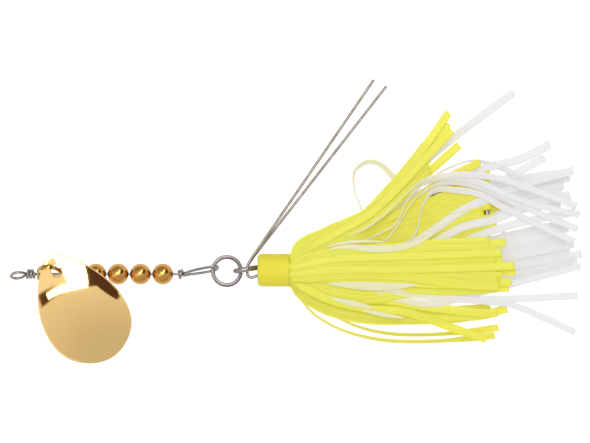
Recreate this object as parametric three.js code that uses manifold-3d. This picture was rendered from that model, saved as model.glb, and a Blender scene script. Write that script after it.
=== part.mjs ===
// A skirted inline spinner bait: a wire shaft with a clevis, a blade and beads, a split ring, and a
// weedless hook that carries a collar and a skirt of cut vinyl strips.
// Millimetres, +Z up. The bait lies flat; +X runs from the line eye to the tips of the skirt.

import * as THREE from 'three';
import { mergeVertices } from 'three/addons/utils/BufferGeometryUtils.js';
import Module from 'manifold-3d';

const wasm = await Module();
wasm.setup();

// Clearances
const seatGap = 0.3;
const runningGap = 0.3;
const linkGap = 0.25;
const cutOverrun = 0.8;

// Wire shaft and its two eyes
const shaftWire = 0.62;
const lineEyeLength = 3.9;
const lineEyeWidth = 3.5;
const lineEyeTilt = THREE.MathUtils.degToRad(61);
const lineEyeDroop = THREE.MathUtils.degToRad(8);
const wrapGap = 0.28;
const wrapPitch = 0.74;
const lineWrapTurns = 2.5;
const ringWrapTurns = 1.25;
const ringEyeLength = 8.4;
const ringEyeWidth = 3.95;
const ringEyeSwing = THREE.MathUtils.degToRad(10.3);
const ringEyeTilt = THREE.MathUtils.degToRad(72);
const lineEyeShares = [
  [0.1, -0.4], [0.33, -0.86], [0.6, -1], [0.85, -0.7], [1, 0], [0.85, 0.7], [0.6, 1], [0.33, 0.8], [0.1, 0.3],
];
const ringEyeShares = [
  [0.06, 0.22], [0.22, 0.66], [0.45, 0.95], [0.7, 1], [0.89, 0.9], [0.98, 0.55], [1, 0],
  [0.98, -0.55], [0.89, -0.9], [0.7, -1], [0.45, -0.95], [0.2, -0.72],
];

// Clevis
const clevisStrap = 0.4;
const clevisWidth = 1.3;
const clevisEar = 2.8;
const clevisSpan = 5.05;
const clevisShoulder = 1.6;
const clevisHeight = 5.75;
const clevisLean = THREE.MathUtils.degToRad(17);
const clevisPlay = 0.6;
const clevisThreadShare = 0.76;

// Beads
const beadCount = 5;
const beadDiameter = 4.76;
const beadGap = 0.26;
const beadChainPlay = 1.2;

// Blade: a dished teardrop, with shares of its length and of its half width
const bladeLength = 27.4;
const bladeWidth = 19.6;
const bladeSheet = 0.5;
const bladeDish = 3.1;
const bladeHole = 2.5;
const bladeHolePlace = 3.4;
const bladeTilt = THREE.MathUtils.degToRad(14);
const bladeSwing = THREE.MathUtils.degToRad(-61.4);
const bladeBeadGap = 0.32;
const bladeOutlineShares = [
  [0, 0], [0.02, 0.19], [0.068, 0.325], [0.12, 0.46], [0.232, 0.68], [0.371, 0.87], [0.506, 0.975],
  [0.633, 1], [0.74, 0.96], [0.832, 0.845], [0.92, 0.61], [0.978, 0.32], [1, 0],
];
const dishSkew = 1.12;
const dishEase = 1.25;
const dishFlank = 0.8;
const bladeRingShares = [0, 0.14, 0.32, 0.52, 0.72, 0.87, 1];

// Split ring: two turns of flat wire
const splitRingDiameter = 7.2;
const splitRingBand = 0.9;
const splitRingWire = 0.42;
const splitRingPitch = 0.5;
const splitRingSweep = THREE.MathUtils.degToRad(673);
const splitRingStart = THREE.MathUtils.degToRad(36);
const splitRingHeight = 3.75;
const splitRingLead = THREE.MathUtils.degToRad(-20);
const hookLead = THREE.MathUtils.degToRad(5);

// Hook
const hookWire = 1.15;
const hookEyeDiameter = 5.3;
const hookAxisHeight = 4;
const hookTilt = THREE.MathUtils.degToRad(9.1);
const hookShank = 51.4;
const hookBendRadius = 4.45;
const hookBendTurn = THREE.MathUtils.degToRad(170.9);
const hookSpear = 7.2;
const hookPoint = 3;
const hookBarb = 1.7;
const hookEyeStart = THREE.MathUtils.degToRad(334);
const hookEyeEnd = THREE.MathUtils.degToRad(44);
const hookNeckShares = [[1.04, 0.5], [1.32, 0.3], [1.75, 0]];
const barbHollowShare = 0.72;
const barbThicknessShare = 0.4;
const pointOverlap = 0.25;

// Collar and sleeve
const collarDiameter = 7.4;
const collarLength = 7.2;
const collarRound = 1.1;
const collarDrop = 0.16;
const sleeveWall = 0.4;
const sleeveRecess = 0.7;

// Weed guard: two spring wires, one above the other
const guardWire = 0.52;
const guardSpacing = 0.8;
const guardSocketDepth = 3.6;
const guardDrop = 1.4;
const guardOuterLength = 47.4;
const guardOuterSetback = 2.3;
const guardOuterAngle = THREE.MathUtils.degToRad(55.6);
const guardInnerLength = 47.8;
const guardInnerSetback = 2.56;
const guardInnerAngle = THREE.MathUtils.degToRad(52.1);
const guardArmBase = 3.5;
const guardBendSag = 0.42;
const guardEyeOffset = 0.6;
const guardTurnOffset = 0.81;
const guardEntryOffset = 1.56;
const guardArms = [
  {
    name: 'guard_arm_outer',
    level: 1,
    setback: guardOuterSetback,
    length: guardOuterLength,
    angle: guardOuterAngle,
  },
  {
    name: 'guard_arm_inner',
    level: -1,
    setback: guardInnerSetback,
    length: guardInnerLength,
    angle: guardInnerAngle,
  },
];

// Skirt: cut strips of vinyl that leave the collar in thin layers above and below the hook
const skirtLength = 65.5;
const stripWidth = 1.45;
const stripRootWidth = 0.7;
const stripThickness = 0.2;
const layerPitch = 0.48;
const hookSlot = 0.95;
const skirtRootRadius = 3.6;
const skirtBulge = 1.6;
const skirtSettle = 0.2;
const layersPerSide = 6;
const widenShare = 0.12;
const rootRunShare = 0.015;
const archRise = 2.2;
const riseCentreShare = 0.45;
const riseSpreadShare = 0.4;
const rollCentreShare = 0.5;
const rollSpreadShare = 0.3;
const stripSteps = 12;

// Each strip: its name, its layer counted from the hook, and its route in shares of the skirt's length,
// along the bait and across it. Some strips stand on edge (roll, at a share of the route), and some arch up
// by a share of the highest arch's rise.
const strips = [
  { name: 'yellow_01', layer: 6, routeShares: [[0.14, 0.038], [0.38, 0.048], [0.716, 0.062]] },
  { name: 'yellow_02', layer: 6, routeShares: [[0.14, 0.002], [0.38, 0.004], [0.585, 0.01], [0.76, 0.017]] },

  { name: 'yellow_03', layer: 5, routeShares: [[0.038, 0.06], [0.14, 0.12], [0.277, 0.199], [0.38, 0.298],
    [0.466, 0.39], [0.548, 0.479]] },
  { name: 'yellow_04', layer: 5, routeShares: [[0.14, 0.02], [0.38, 0.024], [0.72, 0.038]] },
  { name: 'yellow_05', layer: 5, routeShares: [[0.14, -0.028], [0.38, -0.041], [0.55, -0.048], [0.75, -0.038]] },

  { name: 'yellow_06', layer: 4, routeShares: [[0.027, 0.07], [0.08, 0.11], [0.175, 0.158], [0.264, 0.202],
    [0.353, 0.295], [0.449, 0.411], [0.538, 0.538]] },
  { name: 'white_01', layer: 4, riseShare: 1, roll: 62, rollShare: 0.42, routeShares: [[0.14, 0.088],
    [0.281, 0.159], [0.397, 0.265], [0.452, 0.305], [0.51, 0.32], [0.592, 0.327], [0.705, 0.315],
    [0.808, 0.281], [0.976, 0.219]] },
  { name: 'yellow_07', layer: 4, routeShares: [[0.14, 0.042], [0.345, 0.065], [0.55, 0.08], [0.733, 0.096]] },
  { name: 'yellow_08', layer: 4, routeShares: [[0.14, -0.008], [0.38, -0.017], [0.764, -0.003]] },
  { name: 'yellow_21', layer: 4, routeShares: [[0.14, -0.04], [0.38, -0.062], [0.55, -0.072], [0.742, -0.058]] },

  { name: 'yellow_09', layer: 3, routeShares: [[0.038, 0.062], [0.19, 0.137], [0.33, 0.229], [0.414, 0.322],
    [0.483, 0.42], [0.534, 0.503]] },
  { name: 'white_02', layer: 3, riseShare: 0.68, roll: 62, rollShare: 0.4, routeShares: [[0.15, 0.05],
    [0.29, 0.12], [0.353, 0.155], [0.397, 0.24], [0.43, 0.277], [0.49, 0.309], [0.56, 0.316], [0.637, 0.302],
    [0.72, 0.265], [0.85, 0.22], [0.986, 0.19]] },
  { name: 'white_03', layer: 3, routeShares: [[0.14, -0.03], [0.312, -0.065], [0.483, -0.092], [0.62, -0.102],
    [0.747, -0.116], [0.86, -0.161], [0.971, -0.212]] },
  { name: 'yellow_10', layer: 3, routeShares: [[0.05, -0.06], [0.14, -0.082], [0.3, -0.1], [0.43, -0.12],
    [0.55, -0.135], [0.65, -0.146], [0.705, -0.146]] },

  { name: 'yellow_11', layer: 2, routeShares: [[0.045, 0.058], [0.175, 0.116], [0.312, 0.199], [0.432, 0.301],
    [0.575, 0.428]] },
  { name: 'white_04', layer: 2, riseShare: 0.32, roll: 60, rollShare: 0.48, routeShares: [[0.15, 0.045],
    [0.32, 0.1], [0.366, 0.155], [0.412, 0.229], [0.454, 0.267], [0.5, 0.291], [0.558, 0.302], [0.622, 0.291],
    [0.7, 0.262], [0.82, 0.207], [0.98, 0.141]] },
  { name: 'white_05', layer: 2, riseShare: 0.18, roll: 55, rollShare: 0.56, routeShares: [[0.16, 0.012],
    [0.36, 0.055], [0.43, 0.135], [0.444, 0.205], [0.475, 0.262], [0.51, 0.277], [0.558, 0.274], [0.638, 0.262],
    [0.73, 0.212], [0.84, 0.158], [0.969, 0.098]] },
  { name: 'white_06', layer: 2, routeShares: [[0.137, -0.046], [0.26, -0.055], [0.387, -0.06], [0.517, -0.089],
    [0.63, -0.1], [0.8, -0.096], [0.98, -0.087]] },
  { name: 'yellow_12', layer: 2, routeShares: [[0.05, -0.065], [0.13, -0.108], [0.3, -0.15], [0.43, -0.165],
    [0.56, -0.16], [0.65, -0.155], [0.738, -0.13]] },

  { name: 'yellow_13', layer: 1, routeShares: [[0.07, 0.058], [0.21, 0.112], [0.38, 0.205], [0.517, 0.305],
    [0.647, 0.37]] },
  { name: 'white_07', layer: 1, routeShares: [[0.158, 0.044], [0.312, 0.064], [0.425, 0.098], [0.497, 0.144],
    [0.586, 0.205], [0.678, 0.247], [0.825, 0.301], [0.967, 0.341]] },
  { name: 'white_08', layer: 1, routeShares: [[0.16, 0.016], [0.33, 0.033], [0.486, 0.092], [0.586, 0.147],
    [0.702, 0.176], [0.815, 0.223], [0.955, 0.26]] },
  { name: 'white_09', layer: 1, routeShares: [[0.16, -0.012], [0.33, 0.001], [0.517, 0.062], [0.654, 0.123],
    [0.791, 0.164], [0.973, 0.2]] },
  { name: 'white_10', layer: 1, routeShares: [[0.14, -0.045], [0.312, -0.085], [0.483, -0.115], [0.586, -0.092],
    [0.688, -0.065], [0.99, 0.014]] },
  { name: 'yellow_14', layer: 1, routeShares: [[0.05, -0.062], [0.13, -0.1], [0.26, -0.13], [0.38, -0.14],
    [0.483, -0.172], [0.586, -0.209], [0.668, -0.235]] },

  { name: 'white_11', layer: -1, routeShares: [[0.05, 0.063], [0.175, 0.127], [0.31, 0.215], [0.4, 0.31],
    [0.449, 0.363], [0.558, 0.455], [0.764, 0.61]] },
  { name: 'yellow_15', layer: -1, routeShares: [[0.1, 0.055], [0.226, 0.108], [0.38, 0.178], [0.534, 0.264],
    [0.685, 0.332]] },
  { name: 'yellow_16', layer: -1, routeShares: [[0.12, 0.031], [0.28, 0.084], [0.414, 0.144], [0.55, 0.215],
    [0.678, 0.262]] },
  { name: 'yellow_17', layer: -1, routeShares: [[0.14, 0.003], [0.32, 0.053], [0.46, 0.112], [0.586, 0.171],
    [0.723, 0.225]] },
  { name: 'yellow_18', layer: -1, routeShares: [[0.14, -0.027], [0.32, 0.008], [0.449, 0.065], [0.586, 0.11],
    [0.709, 0.151]] },
  { name: 'yellow_19', layer: -1, roll: 60, rollShare: 0.28, routeShares: [[0.015, -0.054], [0.045, -0.078],
    [0.095, -0.121], [0.17, -0.168], [0.25, -0.2], [0.34, -0.218], [0.45, -0.222], [0.586, -0.214],
    [0.712, -0.197]] },

  { name: 'white_12', layer: -2, routeShares: [[0.05, 0.055], [0.2, 0.12], [0.38, 0.22], [0.517, 0.3],
    [0.627, 0.332], [0.705, 0.36], [0.785, 0.38], [0.89, 0.431]] },
  { name: 'white_13', layer: -2, routeShares: [[0.1, 0.03], [0.25, 0.08], [0.42, 0.17], [0.586, 0.25],
    [0.723, 0.285], [0.96, 0.318]] },
  { name: 'white_14', layer: -2, routeShares: [[0.14, 0.005], [0.45, 0.02], [0.74, 0.045], [0.973, 0.09]] },
  { name: 'yellow_20', layer: -2, roll: 60, rollShare: 0.26, routeShares: [[0.012, -0.068], [0.035, -0.102],
    [0.08, -0.152], [0.16, -0.2], [0.25, -0.229], [0.34, -0.243], [0.45, -0.246], [0.586, -0.238],
    [0.7, -0.224]] },

  { name: 'white_15', layer: -3, routeShares: [[0.06, 0.05], [0.2, 0.11], [0.35, 0.21], [0.46, 0.3],
    [0.545, 0.351], [0.62, 0.375], [0.688, 0.363], [0.747, 0.341], [0.808, 0.298], [0.877, 0.26],
    [0.962, 0.24]] },
  { name: 'white_16', layer: -3, routeShares: [[0.14, 0.002], [0.45, 0.005], [0.75, 0.01], [1, 0.056]] },

  { name: 'white_17', layer: -4, routeShares: [[0.08, 0.04], [0.25, 0.1], [0.45, 0.19], [0.6, 0.25],
    [0.74, 0.315], [0.872, 0.387]] },
  { name: 'yellow_22', layer: -4, routeShares: [[0.15, 0.01], [0.35, 0.05], [0.55, 0.1], [0.68, 0.11]] },
  { name: 'white_18', layer: -4, routeShares: [[0.14, -0.02], [0.45, -0.03], [0.75, -0.02], [0.986, 0.031]] },

  { name: 'white_19', layer: -5, roll: 78, rollShare: 0.44, steps: 22, routeShares: [[0.05, 0.045],
    [0.14, 0.103], [0.21, 0.16], [0.242, 0.2], [0.219, 0.274], [0.219, 0.339], [0.264, 0.372], [0.308, 0.363],
    [0.356, 0.317], [0.44, 0.24], [0.57, 0.178], [0.74, 0.137]] },
  { name: 'yellow_23', layer: -5, routeShares: [[0.14, -0.01], [0.35, -0.02], [0.55, -0.02], [0.68, -0.01]] },
  { name: 'yellow_24', layer: -5, routeShares: [[0.06, -0.05], [0.18, -0.1], [0.35, -0.14], [0.5, -0.15],
    [0.62, -0.14]] },

  { name: 'yellow_25', layer: -6, routeShares: [[0.14, 0.02], [0.35, 0.06], [0.52, 0.12], [0.63, 0.18]] },
];

// Places worked out from the sizes
const up = new THREE.Vector3(0, 0, 1);
const shaftHeight = beadDiameter / 2;
const lineWrapEnd = lineEyeLength + lineWrapTurns * wrapPitch;
const clevisFront = lineWrapEnd + clevisPlay + clevisStrap / 2;
const clevisRear = clevisFront + clevisSpan;
const firstBead = clevisRear + clevisStrap / 2 + beadGap + beadDiameter / 2;
const beadPitch = beadDiameter + beadGap;
const lastBeadEnd = firstBead + (beadCount - 1) * beadPitch + beadDiameter / 2;
const ringWrapStart = lastBeadEnd + beadChainPlay;
const ringEyeNeck = ringWrapStart + ringWrapTurns * wrapPitch;
const splitRingInner = splitRingDiameter / 2 - splitRingBand;
const splitRingMid = splitRingDiameter / 2 - splitRingBand / 2;
const ringEyeAxis = directionInPlan(ringEyeSwing);
const ringEyeTip = new THREE.Vector3(ringEyeNeck, 0, splitRingHeight)
  .addScaledVector(ringEyeAxis, ringEyeLength - shaftWire / 2);
const splitRingCentre = ringEyeTip.clone()
  .addScaledVector(directionInPlan(splitRingLead), splitRingInner - linkGap - shaftWire / 2);
const hookPivot = splitRingCentre.clone().addScaledVector(directionInPlan(hookLead), splitRingMid);
const hookEyeRadius = (hookEyeDiameter - hookWire) / 2;
const hookEyeCentre = splitRingCentre.clone()
  .addScaledVector(directionInPlan(hookLead), splitRingInner - linkGap + hookEyeDiameter / 2 - hookWire)
  .setZ(hookAxisHeight);
const hookAxis = directionInPlan(hookTilt);
const collarFront = hookEyeCentre.x + hookEyeDiameter / 2 + seatGap;
const collarBack = collarFront + collarLength;
const collarSide = hookEyeCentre.y - collarDrop;
const skirtRoot = new THREE.Vector3(collarBack + seatGap, collarSide, hookAxisHeight);

// A unit direction in plan, turned from +X
function directionInPlan(angle) {
  return new THREE.Vector3(Math.cos(angle), Math.sin(angle), 0);
}

// A bump that is one at the centre and falls smoothly to zero at the given spread
function bump(value, centre, spread) {
  const offset = Math.min(1, Math.abs(value - centre) / spread);
  return Math.cos(offset * Math.PI / 2) ** 2;
}

// A path whose sections stand at the listed points and nowhere else
class PointPath extends THREE.Curve {
  constructor(points) {
    super();
    this.points = points;
  }

  getPoint(share, target = new THREE.Vector3()) {
    const place = Math.min(Math.max(share, 0), 1) * (this.points.length - 1);
    const index = Math.min(Math.floor(place), this.points.length - 2);
    return target.lerpVectors(this.points[index], this.points[index + 1], place - index);
  }

  getUtoTmapping(share) {
    return share;
  }
}

function polygonShape(radius, sides) {
  const corners = [];
  for (let side = 0; side < sides; side += 1) {
    const angle = (side + 0.5) / sides * 2 * Math.PI;
    corners.push(new THREE.Vector2(Math.cos(angle) * radius, Math.sin(angle) * radius));
  }
  return new THREE.Shape(corners);
}

// A round wire along listed points
function wireGeometry(points, diameter, sides) {
  return new THREE.ExtrudeGeometry(polygonShape(diameter / 2, sides), {
    steps: points.length - 1,
    extrudePath: new PointPath(points),
  });
}

function smoothPoints(points, count) {
  return new THREE.CatmullRomCurve3(points, false, 'centripetal').getPoints(count);
}

// Closed geometry to a solid, and back
function toSolid(geometry) {
  const bare = geometry.clone();
  bare.deleteAttribute('normal');
  bare.deleteAttribute('uv');
  const merged = mergeVertices(bare);
  return new wasm.Manifold(new wasm.Mesh({
    numProp: 3,
    vertProperties: new Float32Array(merged.attributes.position.array),
    triVerts: new Uint32Array(merged.index.array),
  }));
}

function toGeometry(solid) {
  const mesh = solid.getMesh();
  const geometry = new THREE.BufferGeometry();
  geometry.setAttribute('position', new THREE.BufferAttribute(mesh.vertProperties, 3));
  geometry.setIndex(new THREE.BufferAttribute(mesh.triVerts, 1));
  return geometry;
}

function standardMaterial(color, roughness, metalness) {
  return new THREE.MeshStandardMaterial({ color, roughness, metalness });
}

const steel = standardMaterial('#a8a49c', 0.35, 1);
const nickel = standardMaterial('#8f8f8d', 0.3, 1);
const gold = standardMaterial('#d9b45a', 0.15, 1);
const beadGold = standardMaterial('#c99345', 0.2, 1);
const collarRubber = standardMaterial('#e5de46', 0.6, 0);
const sleevePlastic = standardMaterial('#d8d8d0', 0.6, 0);
const yellowVinyl = standardMaterial('#e6e845', 0.5, 0);
const whiteVinyl = standardMaterial('#ececea', 0.5, 0);

function namedMesh(name, geometry, material) {
  const mesh = new THREE.Mesh(geometry, material);
  mesh.name = name;
  return mesh;
}

// The turns of a wrap around the shaft, from one end to the other
function wrapPoints(startX, endX, startAngle, turns) {
  const radius = shaftWire + wrapGap;
  const steps = Math.round(turns * 9);
  const points = [];
  for (let step = 0; step <= steps; step += 1) {
    const share = step / steps;
    const angle = startAngle + share * turns * 2 * Math.PI;
    const x = startX + (endX - startX) * share;
    points.push(new THREE.Vector3(x, Math.cos(angle) * radius, shaftHeight + Math.sin(angle) * radius));
  }
  return points;
}

// The bends of an eye, in shares of its reach along one axis and of its half width across
function eyePoints(neck, reach, across, shares) {
  return shares.map(([along, side]) => neck.clone()
    .addScaledVector(reach, along)
    .addScaledVector(across, side));
}

function wireShaft() {
  const lineNeck = new THREE.Vector3(lineEyeLength, 0, shaftHeight);
  const lineReach = directionInPlan(Math.PI + lineEyeDroop).multiplyScalar(lineEyeLength - shaftWire / 2);
  const lineAcross = new THREE.Vector3(0, Math.cos(lineEyeTilt), Math.sin(lineEyeTilt))
    .multiplyScalar((lineEyeWidth - shaftWire) / 2);
  const ringNeck = new THREE.Vector3(ringEyeNeck, 0, shaftHeight);
  const ringReach = ringEyeTip.clone().sub(ringNeck);
  const ringAcross = new THREE.Vector3(0, Math.cos(ringEyeTilt), Math.sin(ringEyeTilt))
    .multiplyScalar((ringEyeWidth - shaftWire) / 2);
  const lineTurns = lineWrapTurns * 2 * Math.PI;
  const ringTurns = ringWrapTurns * 2 * Math.PI;
  const lineWrap = wrapPoints(lineWrapEnd, lineEyeLength, lineEyeTilt + Math.PI - lineTurns, lineWrapTurns);
  const ringWrap = wrapPoints(ringEyeNeck, ringWrapStart, ringEyeTilt + Math.PI, ringWrapTurns);
  const lineEye = eyePoints(lineNeck, lineReach, lineAcross, lineEyeShares);
  const ringEye = eyePoints(ringNeck, ringReach, ringAcross, ringEyeShares);
  const front = smoothPoints([...lineWrap, ...lineEye, lineNeck], (lineWrap.length + lineEye.length) * 2);
  const back = smoothPoints([ringNeck, ...ringEye, ...ringWrap], (ringEye.length + ringWrap.length) * 2);
  return namedMesh('wire_shaft', wireGeometry([...front, ...back], shaftWire, 6), steel);
}

// A folded strap: two arms up from the shaft, joined by half an ellipse
function clevis() {
  const half = clevisSpan / 2;
  const rise = clevisHeight - clevisShoulder;
  const outline = new THREE.Shape();
  outline.moveTo(half + clevisStrap / 2, 0);
  outline.lineTo(half + clevisStrap / 2, clevisShoulder);
  outline.absellipse(0, clevisShoulder, half + clevisStrap / 2, rise + clevisStrap / 2, 0, Math.PI, false);
  outline.lineTo(-half - clevisStrap / 2, 0);
  outline.lineTo(-half + clevisStrap / 2, 0);
  outline.lineTo(-half + clevisStrap / 2, clevisShoulder);
  outline.absellipse(0, clevisShoulder, half - clevisStrap / 2, rise - clevisStrap / 2, Math.PI, 0, true);
  outline.lineTo(half - clevisStrap / 2, 0);
  const strap = new THREE.ExtrudeGeometry(outline, {
    depth: clevisWidth,
    bevelEnabled: false,
    curveSegments: 14,
  });
  strap.translate(0, 0, -clevisWidth / 2);
  let solid = toSolid(strap);
  for (const place of [-half, half]) {
    const ear = new THREE.CylinderGeometry(clevisEar / 2, clevisEar / 2, clevisStrap, 20);
    ear.rotateZ(Math.PI / 2);
    ear.translate(place, 0, 0);
    solid = solid.add(toSolid(ear));
  }
  const bore = new THREE.CylinderGeometry(shaftWire / 2 + runningGap, shaftWire / 2 + runningGap,
    clevisSpan + clevisStrap + cutOverrun, 16);
  bore.rotateZ(Math.PI / 2);
  const mesh = namedMesh('clevis', toGeometry(solid.subtract(toSolid(bore))), gold);
  mesh.rotation.x = Math.PI / 2 - clevisLean;
  mesh.position.set((clevisFront + clevisRear) / 2, 0, shaftHeight);
  return mesh;
}

function bead(index) {
  const radius = beadDiameter / 2;
  const boreRadius = shaftWire / 2 + runningGap;
  const endAngle = Math.asin(boreRadius / radius);
  const profile = [];
  const steps = 9;
  for (let step = 0; step <= steps; step += 1) {
    const angle = endAngle + (Math.PI - 2 * endAngle) * step / steps;
    profile.push(new THREE.Vector2(Math.sin(angle) * radius, -Math.cos(angle) * radius));
  }
  profile.push(profile[0].clone());
  const geometry = new THREE.LatheGeometry(profile, 14);
  geometry.rotateZ(-Math.PI / 2);
  const mesh = namedMesh(`bead_${index + 1}`, geometry, beadGold);
  mesh.position.set(firstBead + index * beadPitch, 0, shaftHeight);
  return mesh;
}

// The blade's outline, anticlockwise from its tip
function bladeOutline() {
  const right = bladeOutlineShares.map(([along, side]) => new THREE.Vector2(
    along * bladeLength,
    -side * bladeWidth / 2,
  ));
  const left = right.slice(1, -1).reverse().map((point) => new THREE.Vector2(point.x, -point.y));
  return [...right, ...left];
}

// Depth of the dish: none at the rim, most in the middle of the far half
function dishDepth(point) {
  const along = Math.min(Math.max(point.x / bladeLength, 0), 1);
  const lengthwise = Math.sin(Math.PI * along ** dishSkew) ** dishEase;
  const half = bladeHalfWidth(point.x);
  const across = Math.max(0, 1 - (point.y / half) ** 2) ** dishFlank;
  return bladeDish * lengthwise * across;
}

// Half width of the blade at a place along it
function bladeHalfWidth(x) {
  const along = x / bladeLength;
  for (let index = 1; index < bladeOutlineShares.length; index += 1) {
    const [end, endSide] = bladeOutlineShares[index];
    const [start, startSide] = bladeOutlineShares[index - 1];
    if (along <= end) {
      const side = startSide + (endSide - startSide) * (along - start) / (end - start);
      return Math.max(side * bladeWidth / 2, bladeSheet);
    }
  }
  return bladeSheet;
}

// A sheet between rings of points: its two faces, the wall of its hole and its rim
function sheetGeometry(rings, thickness) {
  const count = rings[0].length;
  const positions = [];
  const index = [];
  for (const offset of [thickness, 0]) {
    for (const ring of rings) {
      for (const point of ring) {
        positions.push(point.x, point.y, point.z + offset);
      }
    }
  }
  const under = rings.length * count;
  const quad = (a, b, c, d) => index.push(a, b, c, a, c, d);
  for (let step = 0; step < count; step += 1) {
    const next = (step + 1) % count;
    for (let ring = 0; ring < rings.length - 1; ring += 1) {
      const inner = ring * count;
      const outer = inner + count;
      quad(inner + step, outer + step, outer + next, inner + next);
      quad(under + inner + step, under + inner + next, under + outer + next, under + outer + step);
    }
    const rim = (rings.length - 1) * count;
    quad(rim + step, under + rim + step, under + rim + next, rim + next);
    quad(step, next, under + next, under + step);
  }
  const geometry = new THREE.BufferGeometry();
  geometry.setAttribute('position', new THREE.Float32BufferAttribute(positions, 3));
  geometry.setIndex(index);
  return geometry;
}

function blade() {
  const centre = new THREE.Vector2(bladeHolePlace, 0);
  const outline = new THREE.SplineCurve([...bladeOutline(), bladeOutline()[0]]).getPoints(44).slice(0, -1);
  const rings = bladeRingShares.map((share) => outline.map((edge) => {
    const spoke = edge.clone().sub(centre);
    const inner = centre.clone().addScaledVector(spoke.clone().normalize(), bladeHole / 2);
    const point = inner.lerp(edge, share);
    const height = share === 1 ? 0 : dishDepth(point);
    return new THREE.Vector3(point.x - bladeHolePlace, point.y, height);
  }));
  const mesh = namedMesh('blade', sheetGeometry(rings, bladeSheet), gold);
  mesh.rotation.z = bladeSwing;
  const seat = new THREE.Group();
  const rimHeight = (beadDiameter / 2 + bladeBeadGap) / Math.cos(bladeTilt);
  const holeSide = clevisRodPlace().y;
  seat.position.set(clevisRodPlace().x, holeSide, shaftHeight + rimHeight + holeSide * Math.tan(bladeTilt));
  seat.rotation.x = bladeTilt;
  seat.add(mesh);
  return seat;
}

// Where the strap passes down through the blade's hole
function clevisRodPlace() {
  const height = clevisHeight * clevisThreadShare;
  const rise = (height - clevisShoulder) / (clevisHeight - clevisShoulder);
  const x = (clevisFront + clevisRear) / 2 + clevisSpan / 2 * Math.sqrt(1 - rise ** 2);
  return new THREE.Vector2(x, height * Math.sin(clevisLean));
}

// Flat wire wound into two turns
function splitRing() {
  const steps = 46;
  const middle = splitRingPitch * splitRingSweep / (4 * Math.PI);
  const positions = [];
  for (let step = 0; step <= steps; step += 1) {
    const share = step / steps;
    const angle = splitRingStart + splitRingSweep * share;
    const height = splitRingPitch * splitRingSweep * share / (2 * Math.PI) - middle;
    for (const [side, level] of [[-1, -1], [-1, 1], [1, 1], [1, -1]]) {
      const radius = splitRingMid + side * splitRingBand / 2;
      positions.push(Math.cos(angle) * radius, Math.sin(angle) * radius, height + level * splitRingWire / 2);
    }
  }
  const mesh = namedMesh('split_ring', barGeometry(positions, steps), steel);
  mesh.position.copy(splitRingCentre);
  return mesh;
}

// A four-sided bar from its section corners, listed station by station and anticlockwise about the way it runs
function barGeometry(positions, steps) {
  const sides = 4;
  const index = [0, 3, 2, 0, 2, 1];
  const quad = (a, b, c, d) => index.push(a, b, c, a, c, d);
  for (let step = 0; step < steps; step += 1) {
    const here = step * sides;
    for (let side = 0; side < sides; side += 1) {
      const next = (side + 1) % sides;
      quad(here + side, here + next, here + sides + next, here + sides + side);
    }
  }
  const last = steps * sides;
  index.push(last, last + 1, last + 2, last, last + 2, last + 3);
  const geometry = new THREE.BufferGeometry();
  geometry.setAttribute('position', new THREE.Float32BufferAttribute(positions, 3));
  geometry.setIndex(index);
  return geometry;
}

function hookPlace(along, side, height) {
  const across = up.clone().cross(hookAxis);
  return hookEyeCentre.clone()
    .addScaledVector(hookAxis, along)
    .addScaledVector(across, side)
    .addScaledVector(up, height);
}

function hook() {
  const eye = [];
  const eyeSteps = 16;
  for (let step = 0; step <= eyeSteps; step += 1) {
    const angle = hookEyeStart + (hookEyeEnd - hookEyeStart) * step / eyeSteps;
    eye.push(hookPlace(Math.cos(angle) * hookEyeRadius, 0, Math.sin(angle) * hookEyeRadius));
  }
  const neck = hookNeckShares.map(([along, rise]) => hookPlace(
    along * hookEyeRadius,
    0,
    rise * hookEyeRadius,
  ));
  const shank = [hookPlace(hookEyeRadius + collarLength, 0, 0), hookPlace(hookShank / 2, 0, 0)];
  const bend = [];
  const bendSteps = 14;
  for (let step = 0; step <= bendSteps; step += 1) {
    const angle = hookBendTurn * step / bendSteps;
    bend.push(hookPlace(
      hookShank + Math.sin(angle) * hookBendRadius,
      hookBendRadius - Math.cos(angle) * hookBendRadius,
      0,
    ));
  }
  const spearDirection = hookAxis.clone().applyAxisAngle(up, hookBendTurn);
  const spearEnd = bend[bendSteps].clone().addScaledVector(spearDirection, hookSpear);
  const wire = wireGeometry([...eye, ...neck, ...shank, ...bend, spearEnd], hookWire, 8);
  const point = new THREE.ConeGeometry(hookWire / 2, hookPoint, 8);
  point.translate(0, hookPoint / 2 - pointOverlap, 0);
  point.applyMatrix4(new THREE.Matrix4().makeRotationFromQuaternion(
    new THREE.Quaternion().setFromUnitVectors(new THREE.Vector3(0, 1, 0), spearDirection),
  ));
  point.translate(spearEnd.x, spearEnd.y, spearEnd.z);
  const solid = toSolid(wire).add(toSolid(point)).add(toSolid(hookBarbGeometry(spearEnd, spearDirection)));
  return namedMesh('hook', toGeometry(solid), nickel);
}

// The barb: a thin wedge on the inner side of the spear, with its tip towards the bend
function hookBarbGeometry(spearEnd, spearDirection) {
  const wedge = new THREE.Shape([
    new THREE.Vector2(0, 0),
    new THREE.Vector2(-hookBarb, hookWire),
    new THREE.Vector2(-hookBarb * barbHollowShare, 0),
  ]);
  const thickness = hookWire * barbThicknessShare;
  const geometry = new THREE.ExtrudeGeometry(wedge, { depth: thickness, bevelEnabled: false });
  geometry.translate(0, 0, -thickness / 2);
  geometry.rotateZ(Math.atan2(spearDirection.y, spearDirection.x));
  geometry.translate(spearEnd.x, spearEnd.y, spearEnd.z);
  return geometry;
}

// A round bar between two points
function straightBar(start, end, radius, sides) {
  return wireGeometry([start, end], radius * 2, sides);
}

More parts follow.
